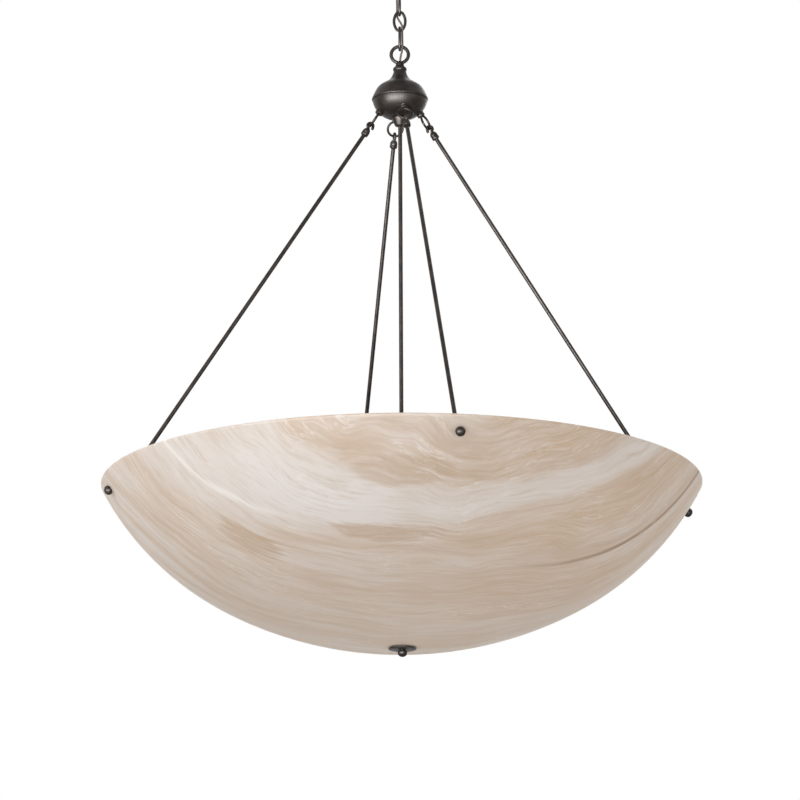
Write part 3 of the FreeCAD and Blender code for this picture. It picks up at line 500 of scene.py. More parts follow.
@dataclass(frozen=True)
class FrostedBulb:
    """Soft white glass of a bulb that isn't lit."""

    white: Colour = (0.86, 0.85, 0.82)
    warm: Colour = (0.78, 0.75, 0.69)

    def material(self) -> bpy.types.Material:
        """Build the finish."""
        g = Graph("frosted_bulb")
        grain = g.noise(g.place, 700, 3, 0.6)
        cloud = g.band(g.noise(g.place, 25, 2, 0.5), 0.3, 0.7)
        g.set(Base_Color=g.mix(cloud, self.white, self.warm), Subsurface_Weight=0.15)
        g.set(Subsurface_Scale=0.01, Roughness=g.band(grain, 0.3, 0.7, 0.30, 0.44))
        g.bump(grain, 0.05, 0.0001)
        return g.material


@dataclass(frozen=True)
class SoftRing:
    """Pale soft gasket with a mould's fine grain."""

    pale: Colour = (0.52, 0.50, 0.46)
    dark: Colour = (0.40, 0.38, 0.35)

    def material(self) -> bpy.types.Material:
        """Build the finish."""
        g = Graph("soft_gasket")
        grain = g.noise(g.place, 500, 3, 0.6)
        g.set(Base_Color=g.mix(g.band(grain, 0.35, 0.65), self.pale, self.dark))
        g.set(Roughness=g.band(grain, 0.2, 0.8, 0.7, 0.85))
        g.bump(grain, 0.2, 0.0003)
        return g.material


@dataclass(frozen=True)
class BraidedCord:
    """Brown braided cover: two sets of strands that cross round the cord, on its own UV map."""

    thread: Colour = (0.115, 0.082, 0.060)
    gap: Colour = (0.030, 0.022, 0.017)
    strands_round: float = 8.0
    strands_per_metre: float = 620.0

    def material(self) -> bpy.types.Material:
        """Build the finish: the braid is the larger of two slanted waves of the UV's length and turn."""
        g = Graph("braided_cord")
        length, turn, _ = g.split(g.node("UVMap", {}))
        along, round_it = length * self.strands_per_metre, turn * self.strands_round
        left = g.math("SINE", (along + round_it) * math.tau)
        right = g.math("SINE", (along - round_it) * math.tau)
        weave = g.math("MAXIMUM", left, right)
        fuzz = g.noise(g.place, 3000, 2, 0.6)
        g.set(Base_Color=g.mix(g.band(weave, -0.3, 0.7), self.gap, self.thread), Sheen_Weight=0.25)
        g.set(Roughness=g.band(fuzz, 0.2, 0.8, 0.7, 0.95))
        g.bump(weave, 0.5, 0.0003)
        return g.material


@dataclass(frozen=True)
class Plan:
    """A point of the stone in the bowl's plan, with the noise that bends and frays its patterns."""

    x: Value
    y: Value
    wobble: Value
    edge: Value

    def blot(self, centre: tuple[float, float], half: tuple[float, float]) -> Value:
        """An uneven oval: one where ((x - cx)/a)^2 + ((y - cy)/b)^2 + edge is well below one.

        Args:
            centre: the oval's middle.
            half: its half sizes.

        Returns:
            The share, nought to one.
        """
        across = (self.x - centre[0]) / half[0]
        deep = (self.y - centre[1]) / half[1]
        return self.x.graph.band(across * across + deep * deep + self.edge, 0.55, 1.25, 1.0, 0.0)


@dataclass(frozen=True)
class VeinedStone:
    """Poured stone-look resin: long soft veils of grey-white and beige with fine white threads.

    Seen from below, the veils hang in nested curves: a veil is where y - 0.45 x^2 - 0.15 x is constant.
    Slow noise bends the veils and along them the noise is stretched. A few features have places of
    their own: a broad pale sheet, beige lenses, a dark seam on the right and a white vein on the left.
    """

    pale: Colour = (0.650, 0.565, 0.495)
    cool: Colour = (0.690, 0.635, 0.590)
    light: Colour = (0.730, 0.695, 0.665)
    beige: Colour = (0.585, 0.460, 0.355)
    tan: Colour = (0.500, 0.365, 0.255)
    warm: Colour = (0.560, 0.405, 0.275)
    # painted shade of the bowl's underside: a darker, warmer tone mixed in towards the bottom
    calm: Colour = (0.540, 0.418, 0.322)
    seam: Colour = (0.280, 0.165, 0.085)
    thread: Colour = (0.800, 0.760, 0.715)
    # heights in metres where the painted underside shade starts and where it reaches full strength
    calm_from: float = -0.97
    calm_to: float = -1.08

    @staticmethod
    def lay(body: Value, *layers: tuple[Value, float, Colour]) -> Value:
        """Mix layers over a colour in turn, each by its share times its strength.

        Args:
            body: the colour so far.
            layers: share, strength and colour of each layer.

        Returns:
            The new colour.
        """
        for share, strength, colour in layers:
            body = body.graph.mix(share * strength, body, colour)
        return body

    def material(self) -> bpy.types.Material:
        """Build the finish."""
        g = Graph("veined_stone")
        x, y, z = g.split(g.place)
        drift, flow = g.noise(g.place, 4.0, 2, 0.5) - 0.5, g.noise(g.place, 11.0, 2, 0.5) - 0.5
        wobble = drift * 0.10 + flow * 0.013
        depth = y - (x * x * 0.45 + x * 0.15) + wobble
        veil = g.vector(x, depth * 9.0, z * 0.5)

        broad = g.noise(veil, 2.3, 4, 0.62, 0.20)
        middle = g.noise(veil, 5.0, 5, 0.66, 0.35)
        fine = g.noise(veil, 15.0, 4, 0.65, 0.25)
        hairy = g.noise(g.vector(x * 0.6, depth * 12.0, z), 26.0, 3, 0.6)
        plan = Plan(x, y, wobble, (middle - 0.5) * 1.6 + (fine - 0.5) * 2.4)
        body = g.mix(g.band(broad, 0.36, 0.64), self.beige, self.pale)
        body = self.lay(body, (g.band(middle, 0.47, 0.66), 0.62, self.cool),
                        (g.band(middle, 0.47, 0.32), 0.50, self.tan))
        body = self.placed(g, plan, body)
        body = self.lay(body, (g.band(fine, 0.50, 0.66), 0.30, self.cool),
                        (g.band(fine, 0.48, 0.34), 0.28, self.tan),
                        (g.band(hairy, 0.50, 0.68), 0.26, self.light),
                        (g.band(hairy, 0.48, 0.34), 0.22, self.tan))
        # Painted shade: towards the bowl's bottom the colour is mixed up to 38% into a darker, warmer tone,
        # as the underside gets less light
        body = g.mix(g.band(z, self.calm_from, self.calm_to, 0.0, 0.38), body, self.calm)
        body = self.marks(g, plan, body)

        ridge = g.near(g.noise(veil, 5.0, 4, 0.55, 0.35), 0.5, 0.010)
        hair = g.near(g.noise(veil, 11.0, 4, 0.55, 0.35), 0.5, 0.016)
        patch = g.band(g.noise(g.place, 9.0, 2, 0.5), 0.44, 0.62)
        body = g.mix(g.math("MAXIMUM", ridge * 0.50, hair * 0.34) * patch, body, self.thread)

        g.set(Base_Color=body, Subsurface_Weight=0.12, Subsurface_Scale=0.006)
        g.set(Subsurface_Radius=(1.0, 0.7, 0.5), Roughness=g.band(middle, 0.3, 0.7, 0.42, 0.52))
        g.set(Specular_IOR_Level=0.12)
        g.bump(g.noise(veil, 9.0, 3, 0.5), 0.04, 0.0004)
        return g.material

    def placed(self, g: Graph, plan: Plan, body: Value) -> Value:
        """Lay the features with places of their own over the veils: a curved pale sheet, and ovals."""
        line = plan.y + 0.370 - plan.x * plan.x * 0.70 + (plan.wobble * 0.35 + plan.edge * 0.006)
        width = g.band(plan.x, -0.10, 0.22, 0.042, 0.017)
        share = g.math("ABSOLUTE", line / width) + plan.edge * 0.25
        right = g.band(plan.x, 0.05, 0.26)
        return self.lay(body, (g.near(line, -0.055, 0.045) * right, 0.85, self.warm),
                        (g.near(line, 0.060, 0.060) * right, 0.75, self.warm),
                        (g.near(line, 0.200, 0.130) * right, 0.40, self.warm),
                        (g.band(share, 0.45, 1.35, 1.0, 0.0), 0.72, self.cool),
                        (plan.blot((-0.13, -0.372), (0.13, 0.042)), 0.60, self.light),
                        (plan.blot((-0.02, -0.330), (0.084, 0.013)), 0.70, self.tan),
                        (plan.blot((-0.22, -0.255), (0.050, 0.020)), 0.80, self.tan),
                        (plan.blot((0.00, -0.408), (0.075, 0.016)), 0.50, self.tan))

    def marks(self, g: Graph, plan: Plan, body: Value) -> Value:
        """Draw the dark seam on the right and the white vein on the left."""
        past = plan.x - 0.18
        rise = past * 0.52 + past * past * -0.15
        crack = plan.y + 0.226 - rise + plan.wobble * 0.12
        there = g.band(plan.x, 0.11, 0.34)
        soft = plan.wobble * 0.40 + plan.edge * 0.004
        vein = g.near(plan.y + 0.322 + (plan.x + 0.20) * 0.20 + soft, 0.0, 0.0055)
        return self.lay(body, (g.near(crack, -0.016, 0.022) * there, 0.45, self.tan),
                        (g.near(crack, 0.0, 0.0075) * there, 0.80, self.seam),
                        (vein * g.band(plan.x, -0.13, -0.24), 0.80, self.thread))


class Finish(Enum):
    """The record's material slots, with what each one is painted with."""

    BRONZE = ("bronze", DarkBronze())
    STEEL = ("zinc_steel", PlainMetal("zinc_steel", (0.62, 0.62, 0.60), (0.46, 0.45, 0.42), 0.34))
    CORD = ("cord_cover", BraidedCord())
    STONE = ("stone_resin", VeinedStone())
    GASKET = ("gasket", SoftRing())
    ENAMEL = ("white_enamel", Glazed("white_enamel", (0.80, 0.79, 0.76), (0.73, 0.71, 0.67), 0.28))
    CERAMIC = ("holder_ceramic", Glazed("holder_ceramic", (0.84, 0.83, 0.79), (0.76, 0.74, 0.70), 0.18))
    BULB = ("bulb_glass", FrostedBulb())
    BRASS = ("cap_brass", PlainMetal("cap_brass", (0.74, 0.60, 0.36), (0.52, 0.40, 0.22), 0.30))

    @property
    def slot(self) -> str:
        """The slot's name in the record."""
        return self.value[0]


class Studio:
    """Keeps the finished materials and puts pieces on their bodies."""

    def __init__(self) -> None:
        """Build each finish once."""
        self.materials = {finish: finish.value[1].material() for finish in Finish}

    def add(self, piece: bpy.types.Object, finish: Finish, body: Optional[str], *nodes: str) -> None:
        """Dress a piece, let it ride on a body and stand for CAD nodes.

        Args:
            piece: the new object.
            finish: what it is painted with.
            body: the body it moves with, or None to leave it on no body.
            nodes: the CAD nodes it replaces.
        """
        piece.data.materials.append(self.materials[finish])
        if body:
            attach(piece, body)
        if nodes:
            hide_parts(*nodes)
        LOG.info("%s: %d faces, %s, %s", piece.name, len(piece.data.polygons), finish.slot, body or "bends")

    def bronze(self, name: str, node: str, *grids: Array, closed: Iterable[bool] = (),
               body: str = "pendant") -> None:
        """Make a bronze piece from grids and let it stand for a CAD node."""
        self.add(mesh_of(name, *grids, closed=closed), Finish.BRONZE, body, node)

    def paint_frame(self) -> None:
        """Give every CAD node the finish of its slot in the record."""
        by_slot = {finish.slot: self.materials[finish] for finish in Finish}
        for part in frame["record"]["subparts"]:
            node = frame["nodes"][part["node"]]
            node.data.materials.clear()
            node.data.materials.append(by_slot[part["material_slot"]])


# ---------------------------------------------------------------- sub-assemblies
@dataclass
class CanopyGroup:
    """Ceiling dish and the loop that the chain hangs on."""

    radius: float = 66.0
    wall: float = 1.5
    step_radius: float = 58.0
    step_height: float = -6.0
    crown_radius: float = 26.0
    hole_radius: float = 9.8
    shank_radius: float = 9.4
    neck_radius: float = 6.8
    lip: float = 0.6

    def build(self, studio: Studio) -> None:
        """Make the dish and the loop."""
        floor, step, lip = span("ceiling_canopy")[0], self.step_height, self.lip

        def half(inset: float) -> tuple[float, ...]:
            """Radii and heights of one skin of the dish."""
            return self.radius - inset, self.step_radius - inset, step + inset, floor + inset

        edge, side, shelf, base = half(0)
        in_edge, in_side, in_shelf, in_base = half(self.wall)
        bulge = (side * 0.81, (shelf + base) / 2 - 4.1)
        dish = (Outline(edge - lip, 0)
                .lines((edge, -lip), (edge, shelf + lip), (edge - lip, shelf), (side + lip, shelf))
                .lines((side, shelf - lip)).arc(bulge, (self.crown_radius, base), 30)
                .lines((self.hole_radius, base), (self.hole_radius, in_base), (self.crown_radius, in_base))
                .arc((bulge[0] - self.wall, bulge[1] + self.wall), (in_side, in_shelf), 30)
                .lines((in_edge, in_shelf), (in_edge, 0), (edge - lip, 0)))
        studio.bronze("canopy_dish", "ceiling_canopy", dish.turned(128), body="canopy")

        low, high = span("canopy_loop")
        centre = low + LOOP_MEAN + LOOP_WIRE / 2
        foot = centre + LOOP_MEAN - LOOP_WIRE * 0.35
        shoulder = span("canopy_collar")[0]
        neck = (Outline(BORE, foot).lines((self.neck_radius * 0.8, foot))
                .curve((self.neck_radius * 0.86, foot + 2), (self.neck_radius, shoulder - 2.2),
                       (self.shank_radius - 0.4, shoulder - 0.6), (self.shank_radius, shoulder))
                .lines((self.shank_radius, high - lip), (self.shank_radius - lip, high), (TUBE_RADIUS, high),
                       (TUBE_RADIUS, shoulder), (BORE, shoulder), (BORE, foot)))
        hoop = standing_ring(LOOP_MEAN, centre, LOOP_WIRE)
        studio.bronze("canopy_ring", "canopy_loop", hoop, neck.turned(48), closed=[True], body="canopy")


@dataclass
class Chain:
    """Three oval links: long, short, long, each turned a quarter from the last."""

    end_radius: float = 6.3
    plan: tuple[tuple[str, str, str], ...] = (
        ("link_upper", "upper_link", "connecting_link_top"),
        ("link_middle", "middle_link", "chain_link"),
        ("link_lower", "lower_link", "connecting_link_bottom"),
    )

    def oval(self, half_long: float, half_wide: float, steps: int = 30) -> Array:
        """Centreline of four tangent arcs: two small end arcs and two wide side arcs.

        Args:
            half_long: half the length between the end wires' centres.
            half_wide: half the width between the side wires' centres.
            steps: points on each arc.

        Returns:
            Points in the plane, n by 2, width then height.
        """
        end = self.end_radius
        side = (half_wide**2 + (half_long - end) ** 2 - end**2) / (2 * (half_wide - end))
        lean = math.atan2(half_long - end, side - half_wide)
        cap = np.linspace(lean, math.pi - lean, steps, endpoint=False)
        flank = np.linspace(-lean, lean, steps, endpoint=False)
        top = np.stack([end * np.cos(cap), half_long - end + end * np.sin(cap)], axis=1)
        right = np.stack([half_wide - side + side * np.cos(flank), side * np.sin(flank)], axis=1)
        return np.vstack([right, top, -right, -top])

    def build(self, studio: Studio) -> None:
        """Make each link where its CAD node is."""
        for name, body, node in self.plan:
            low, high = node_box(node)
            size, centre = high - low, (low + high) / 2
            flat = self.oval((size[2] - CHAIN_WIRE) / 2, (max(size[0], size[1]) - CHAIN_WIRE) / 2)
            across = EAST if size[0] > size[1] else NORTH
            path = centre + flat[:, :1] * across + flat[:, 1:] * UP
            tube = closed_wire(path, CHAIN_WIRE / 2, np.cross(across, UP), 20)
            studio.bronze(name, node, tube, closed=[True], body=body)


@dataclass
class SupplyCord:
    """The cord woven through the chain, one smooth curve in four stretches."""

    diameter: float = 3.2
    beside: float = 4.05
    past_loop: float = 4.6
    past_link: float = 4.05
    apart: float = 0.001
    longest_bend: float = 13.0
    bend_share: float = 0.95
    sides: int = 16

    def route(self) -> Array:
        """Points of the route, chosen where the cord leaves a ring or passes a link.

        Returns:
            Points in the frame, n by 3, from the canopy down to the hub's neck.
        """
        link_low, link_high = span("chain_link")
        b, l, k = self.beside, self.past_loop, self.past_link

        def half(sign: int, bar: float, end: float) -> list[tuple[float, float, float]]:
            """From a loop's bar to the middle of the chain; the other half is turned half a circle."""
            return [(0, 0, bar + sign * 20.4), (-sign * (b + 0.2), sign * (l + 0.8), bar + sign * 7),
                    (-sign * (b + 0.2), sign * (l + 0.2), bar - sign * 5),
                    (-sign * b, sign * (k - 0.6), end + sign * 13),
                    (-sign * b, sign * (k + 1.1), end + sign * 0.25),
                    (-sign * b, sign * (k - 1.25), end - sign * 8.25)]

        upper = half(1, span("canopy_loop")[0] + LOOP_WIRE / 2, link_high - CHAIN_WIRE / 2)
        lower = half(-1, span("hub_loop")[1] - LOOP_WIRE / 2, link_low + CHAIN_WIRE / 2)
        first, last = (0, 0, -1.25), (0, 0, span("supply_cord_4")[0])
        return np.array([first, *upper, *lower[::-1], last])

    def centreline(self) -> Array:
        """The route's NURBS spline as points close together, read from a curve without a bevel."""
        curve = bpy.data.curves.new("cord_route", "CURVE")
        curve.dimensions = "3D"
        curve.resolution_u = 16
        spline = curve.splines.new("NURBS")
        points = self.route()
        spline.points.add(len(points) - 1)
        spline.points.foreach_set("co", np.hstack([points, np.ones((len(points), 1))]).ravel())
        spline.order_u = 3
        spline.use_endpoint_u = True
        holder = bpy.data.objects.new("cord_route", curve)
        mesh = bpy.data.meshes.new_from_object(holder)
        line = np.empty(len(mesh.vertices) * 3)
        mesh.vertices.foreach_get("co", line)
        bpy.data.objects.remove(holder)
        bpy.data.curves.remove(curve)
        bpy.data.meshes.remove(mesh)
        return line.reshape(-1, 3)

    def stretch(self, name: str, path: Array, start: float) -> bpy.types.Object:
        """One stretch of the cord as a capped tube with a UV map of length and turn.

        Args:
            name: the piece's name.
            path: its centreline.
            start: the cord's length before it, for an unbroken braid.

        Returns:
            The new object.
        """
        tube = round_wire(path, self.diameter / 2, EAST, self.sides)
        rows = len(path)
        seam = np.concatenate([tube, tube[:, :1]], axis=1)
        index = np.arange(rows * (self.sides + 1)).reshape(rows, self.sides + 1)
        quads = quads_of(index)
        length = start + np.concatenate([[0], np.cumsum(np.linalg.norm(np.diff(path, axis=0), axis=1))])
        turn = np.linspace(0, 1, self.sides + 1)
        chart = np.stack(np.meshgrid(length * MM, turn, indexing="ij"), axis=-1).reshape(-1, 2)
        mesh = bpy.data.meshes.new(name)
        mesh.from_pydata((seam.reshape(-1, 3) * MM).tolist(), [], quads.tolist())
        mesh.uv_layers.new(name="UVMap").data.foreach_set("uv", chart[quads.ravel()].ravel())
        return welded(name, mesh, CORD_MERGE, CORD_SHARP, fill=True)

    def build(self, studio: Studio) -> None:
        """Cut the centreline at the middle of each link into four stretches of cord."""
        line = self.centreline()
        ends = [span("supply_cord_%d" % number) for number in (1, 2, 3, 4)]
        bodies = ["canopy", "upper_link", "middle_link", "lower_link", "pendant"]
        joints = [joint["pos_m"][2] / MM for joint in frame["record"]["behaviour"]["joints"]]
        done = 0.0
        for number, ((low, high), pivot) in enumerate(zip(ends, joints), 1):
            inside = line[(line[:, 2] < high - self.apart) & (line[:, 2] > low + self.apart)]
            path = np.vstack([self.at_height(line, high), inside, self.at_height(line, low)])
            piece = self.stretch("cord_stretch_%d" % number, path, done)
            done += float(np.linalg.norm(np.diff(path, axis=0), axis=1).sum())
            reach = min(self.longest_bend, high - pivot, pivot - low) * self.bend_share
            above, below = bodies[number - 1], bodies[number]
            studio.add(piece, Finish.CORD, None, "supply_cord_%d" % number)
            (pivot + reach) * MM
            (pivot - reach) * MM
            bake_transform(piece)
        LOG.info("supply cord: %.4f m in four stretches", done * MM)

    @staticmethod
    def at_height(line: Array, height: float) -> Array:
        """The point of the centreline at a height, between its neighbours in proportion."""
        order = np.argsort(line[:, 2])
        height = float(np.clip(height, line[:, 2].min(), line[:, 2].max()))
        return np.array([np.interp(height, line[order, 2], line[order, axis]) for axis in range(3)])


@dataclass
class Hub:
    """Loop, bead, two spun shells and the nut under them; heights count from the seam."""

    wall: float = 1.4
    lip_foot: float = 3.2
    dome: tuple[tuple[float, float], ...] = (
        (43.5, 3.9), (43.9, 4.9), (43.7, 6.1), (42.9, 8.2), (41.7, 10.8), (40.4, 13.6), (38.4, 17.8),
        (34.0, 24.6), (26.6, 30.1), (19.8, 34.3), (15.2, 38.5), (12.4, 43.2), (10.5, 47.8), (9.8, 51.0))

    def build(self, studio: Studio) -> None:
        """Make every piece of the hub."""
        self.seam = span("hub_upper_shell")[0]
        self.neck_z, self.top_z = span("hub_neck_collar")
        for piece in (self.loop, self.bead, self.upper_shell, self.lower_shell, self.bottom_nut):
            piece(studio)

    def loop(self, studio: Studio) -> None:
        """Ring on a flared neck."""
        centre = span("hub_loop")[1] - LOOP_MEAN - LOOP_WIRE / 2
        seat = centre - LOOP_MEAN + LOOP_WIRE * 0.3
        neck = (Outline(BORE, self.top_z).lines((6.2, self.top_z))
                .curve((6.8, self.top_z + 0.6), (6.5, self.top_z + 1.6), (5.2, seat - 1.6), (4.3, seat))
                .lines((BORE, seat), (BORE, self.top_z)))
        hoop = standing_ring(LOOP_MEAN, centre, LOOP_WIRE)
        studio.bronze("hub_ring", "hub_loop", hoop, neck.turned(48), closed=[True])

    def bead(self, studio: Studio) -> None:
        """Turned bead with a groove above it."""
        z, high = self.neck_z, self.top_z - self.neck_z
        outline = (Outline(TUBE_RADIUS, z).lines((9.6, z))
                   .curve((10.4, z + 1.2), (10.8, z + high * 0.34), (10.3, z + high * 0.55),
                          (9.0, z + high * 0.68))
                   .curve((7.7, z + high * 0.82), (6.9, z + high * 0.93), (6.8, self.top_z))
                   .lines((TUBE_RADIUS, self.top_z), (TUBE_RADIUS, z)))
        studio.bronze("hub_bead", "hub_neck_collar", outline.turned(96))

    def upper_shell(self, studio: Studio) -> None:
        """Thin rolled lip, low dome and trumpet neck, with the same shape inside."""
        def skin(inset: float) -> list[tuple[float, float]]:
            """Knots of the skin from the lip's foot to the neck, moved in by inset."""
            return [(r - inset, self.seam + (z - inset * 0.6 * (r / 44.0))) for r, z in self.dome]

        foot = self.seam + self.lip_foot
        outer, inner = skin(0.0), skin(self.wall)[::-1]
        inner[-1] = (40.4, foot)
        outline = Outline(43.0, foot).curve(*outer, steps=5).line(*inner[0])
        outline.curve(*inner[1:], steps=5).line(43.0, foot)
        studio.bronze("hub_dome", "hub_upper_shell", outline.turned(128))

    def lower_shell(self, studio: Studio) -> None:
        """Bowl-shaped lower shell: its edge meets the lip and steps in under the upper shell."""
        base = span("hub_lower_shell")[0]
        rise, wall, edge = self.seam + self.lip_foot - 0.4, self.wall, 42.6
        step, flat = 40.2, 13.2
        middle = (34.6, self.seam - 14.0)
        outline = (Outline(step, rise).lines((edge - 0.3, rise), (edge, rise - 0.3))
                   .arc((middle[0] + 4.9, self.seam - 6.6), middle, 14)
                   .arc((26.0, self.seam - 21.4), (flat, base), 24)
                   .lines((TUBE_RADIUS, base), (TUBE_RADIUS, base + wall), (flat, base + wall))
                   .arc((middle[0] - wall, middle[1] + wall * 0.6), (step - wall, rise), 36)
                   .lines((step, rise)))
        studio.bronze("hub_cup", "hub_lower_shell", outline.turned(128))

    def bottom_nut(self, studio: Studio) -> None:
        """Narrow cone of a nut under the hub, its top edge eased, round the stem's top."""
        foot, top = span("hub_bottom_collar")
        seat = (top + foot) / 2
        outline = (Outline(TUBE_RADIUS, top).lines((12.9, top))
                   .curve((13.1, top - 0.5), (12.8, top - 1.8), (11.2, top - 5.6),
                          (8.2, foot + 1.0), (7.5, foot + 0.3))
                   .lines((7.1, foot), (STEM_RADIUS, foot), (STEM_RADIUS, seat), (TUBE_RADIUS, seat),
                          (TUBE_RADIUS, top)))
        studio.bronze("hub_nut", "hub_bottom_collar", outline.turned(96))


@dataclass
class Arms:
    """Rings on the hub, hooks, ferrules and rods, each set in a frame along its rod's line."""

    ring_seat_radius: float = 47.0
    ring_seat_drop: float = 40.35
    ring_mean: float = 11.8
    ring_wire: float = 3.7
    ring_lift: float = 0.10
    barrel_radius: float = 6.1
    barrel_length: float = 14.0
    stud_radius: float = 3.0
    hook_wire: float = 4.6
    hook_bend: float = 4.3
    hook_entry: float = 3.2
    hook_tail: float = 4.0
    hook_opening: float = 20.0
    socket: float = 6.0
    ferrule_length: float = 12.5
    rod_radius: float = 3.2

    def __post_init__(self) -> None:
        """Work out the rod's line from the rod nearest the front."""
        seam = span("hub_upper_shell")[0]
        self.stem = math.sqrt(self.hook_bend**2 + 2 * self.hook_entry * self.hook_bend)
        outward = Side.FRONT.outward
        self.seat = outward * self.ring_seat_radius + UP * (seam - self.ring_seat_drop)
        low, high = node_box("rod_front")
        slope = self.rod_slope(high[2] - low[2], high[1] - low[1])
        self.direction = unit(np.array([-slope * outward[0], -slope * outward[1], 1.0]))
        sine = math.hypot(*self.direction[:2])
        self.rod_foot = (self.seat[2] - low[2] - self.rod_radius * sine) / self.direction[2]

    def rod_slope(self, height: float, depth: float) -> float:
        """How far the rod leans out for each metre down, from the size of its box.

        The box of a round bar is its axis's run plus its own thickness square to the lean, so that
        run = box - 2 R cos(lean) across and box - 2 R sin(lean) up; a few rounds settle the lean.
        """
        turn = math.cos(math.radians(FIRST_AZIMUTH))
        slope = depth / turn / height
        for _ in range(8):
            lean = math.atan(slope)
            across = (depth - 2 * self.rod_radius * math.cos(lean)) / turn
            slope = across / (height - 2 * self.rod_radius * math.sin(lean))
        return slope

    def arm_frame(self, points: Array, side: Side) -> Array:
        """Arm points to the light: +Z up the rod, X along the ring's width, +Y inwards.

        They are placed for the front arm and turned round the light's axis to the other arm.
        """
        width = unit(np.array([-self.seat[1], self.seat[0], 0.0]))
        angle = math.radians(side.value)
        c, s = math.cos(angle), math.sin(angle)
        turn = np.array([[c, s, 0], [-s, c, 0], [0, 0, 1]])
        return Seat(self.seat, self.direction, width).place(points) @ turn

    def ring(self) -> tuple[Array, Array]:
        """Ring and the grooved barrel above it."""
        hoop = standing_ring(self.ring_mean, self.ring_lift + self.ring_mean, self.ring_wire, 18)
        foot = self.ring_lift + 2 * self.ring_mean - self.ring_wire / 4
        top, r, bevel, stud = foot + self.barrel_length, self.barrel_radius, 1.0, self.stud_radius
        groove = r - 0.5
        barrel = (Outline(0, foot).lines((r - 2 * bevel, foot))
                  .curve((r - bevel * 0.6, foot + 0.4), (r, foot + bevel * 1.3))
                  .lines((r, foot + 4), (groove, foot + 4.4), (groove, foot + 5.2), (r, foot + 5.6),
                         (r, top), (stud, top), (stud, top + self.socket), (0, top + self.socket)))
        return hoop, barrel.turned(40)

    def hook(self) -> Array:
        """Bent wire: a stem, an arc outwards, a wide arc back over the ring's wire, and a tail."""
        bend, entry, stem, radius = self.hook_bend, self.hook_entry, self.stem, self.hook_wire / 2
        opening = math.radians(self.hook_opening)
        out = np.linspace(0, math.atan2(stem, entry), 14)
        first = np.stack([-entry + entry * np.cos(out), -stem + entry * np.sin(out)], axis=1)
        over = np.linspace(-math.pi / 2 - math.atan2(entry, stem), opening - math.tau, 60)
        second = bend * np.stack([np.cos(over), np.sin(over)], axis=1)
        down = np.array([math.sin(opening), -math.cos(opening)])
        dome = np.sin(np.linspace(0, math.pi / 2, DOME_STEPS))
        tail = second[-1] + down * np.concatenate([[0], self.hook_tail + radius * dome])[:, None]
        foot = np.array([[0, -stem - self.socket]])
        flat = np.vstack([foot, first, second[1:-1], tail])
        radii = np.full(len(flat), radius)
        radii[-DOME_STEPS:] = radius * np.sqrt(1 - dome**2)
        path = np.stack([0 * flat[:, 0], flat[:, 0], flat[:, 1]], axis=1)
        keep = np.concatenate([[True], np.linalg.norm(np.diff(path, axis=0), axis=1) > 1e-4])
        return round_wire(path[keep], radii[keep], EAST, 18)

    def ferrule(self) -> Array:
        """Turned coupling with a waist groove and rounded shoulders."""
        top, wire, core, rod = -self.stem, self.hook_wire / 2, 0.4, self.rod_radius
        foot, rise = top - self.ferrule_length, self.ferrule_length / 12.5
        outline = (Outline(rod, foot).lines((4.9, foot))
                   .curve((5.6, foot + 0.8 * rise), (6.0, foot + 2.4 * rise), (6.0, foot + 4.2 * rise))
                   .lines((5.6, foot + 4.7 * rise), (5.6, foot + 5.4 * rise), (5.95, foot + 5.9 * rise))
                   .curve((5.7, foot + 8.2 * rise), (4.9, foot + 10.4 * rise), (3.7, top))
                   .lines((wire, top), (wire, top - self.socket), (core, top - self.socket),
                          (core, foot + self.socket), (rod, foot + self.socket), (rod, foot)))
        return outline.turned(48)

    def rod(self) -> Array:
        """Long round rod, with slightly domed ends."""
        top, dome = -self.stem - self.ferrule_length + self.socket, self.rod_radius * 0.3
        stations, radii = rounded_ends(top + self.rod_foot, dome)
        path = np.stack([0 * stations, 0 * stations, stations - self.rod_foot], axis=1)
        blunt = self.rod_radius - dome + radii
        blunt[[0, -1]] = 0.0
        return round_wire(path, blunt, EAST, 28)

    def build(self, studio: Studio) -> None:
        """Make the four arms; the ferrules are one piece, as their node is."""
        ferrule = self.ferrule()
        plan = (("arm_ring_", "arm_loop_", self.ring()), ("hook_", "rod_hook_", (self.hook(),)),
                ("hanging_rod_", "rod_", (self.rod(),)))
        for side in Side:
            for name, node, shapes in plan:
                placed = [self.arm_frame(shape, side) for shape in shapes]
                studio.bronze(name + side.word, node + side.word, *placed, closed=[len(shapes) > 1])
        studio.bronze("ferrules", "rod_ferrules", *[self.arm_frame(ferrule, side) for side in Side])


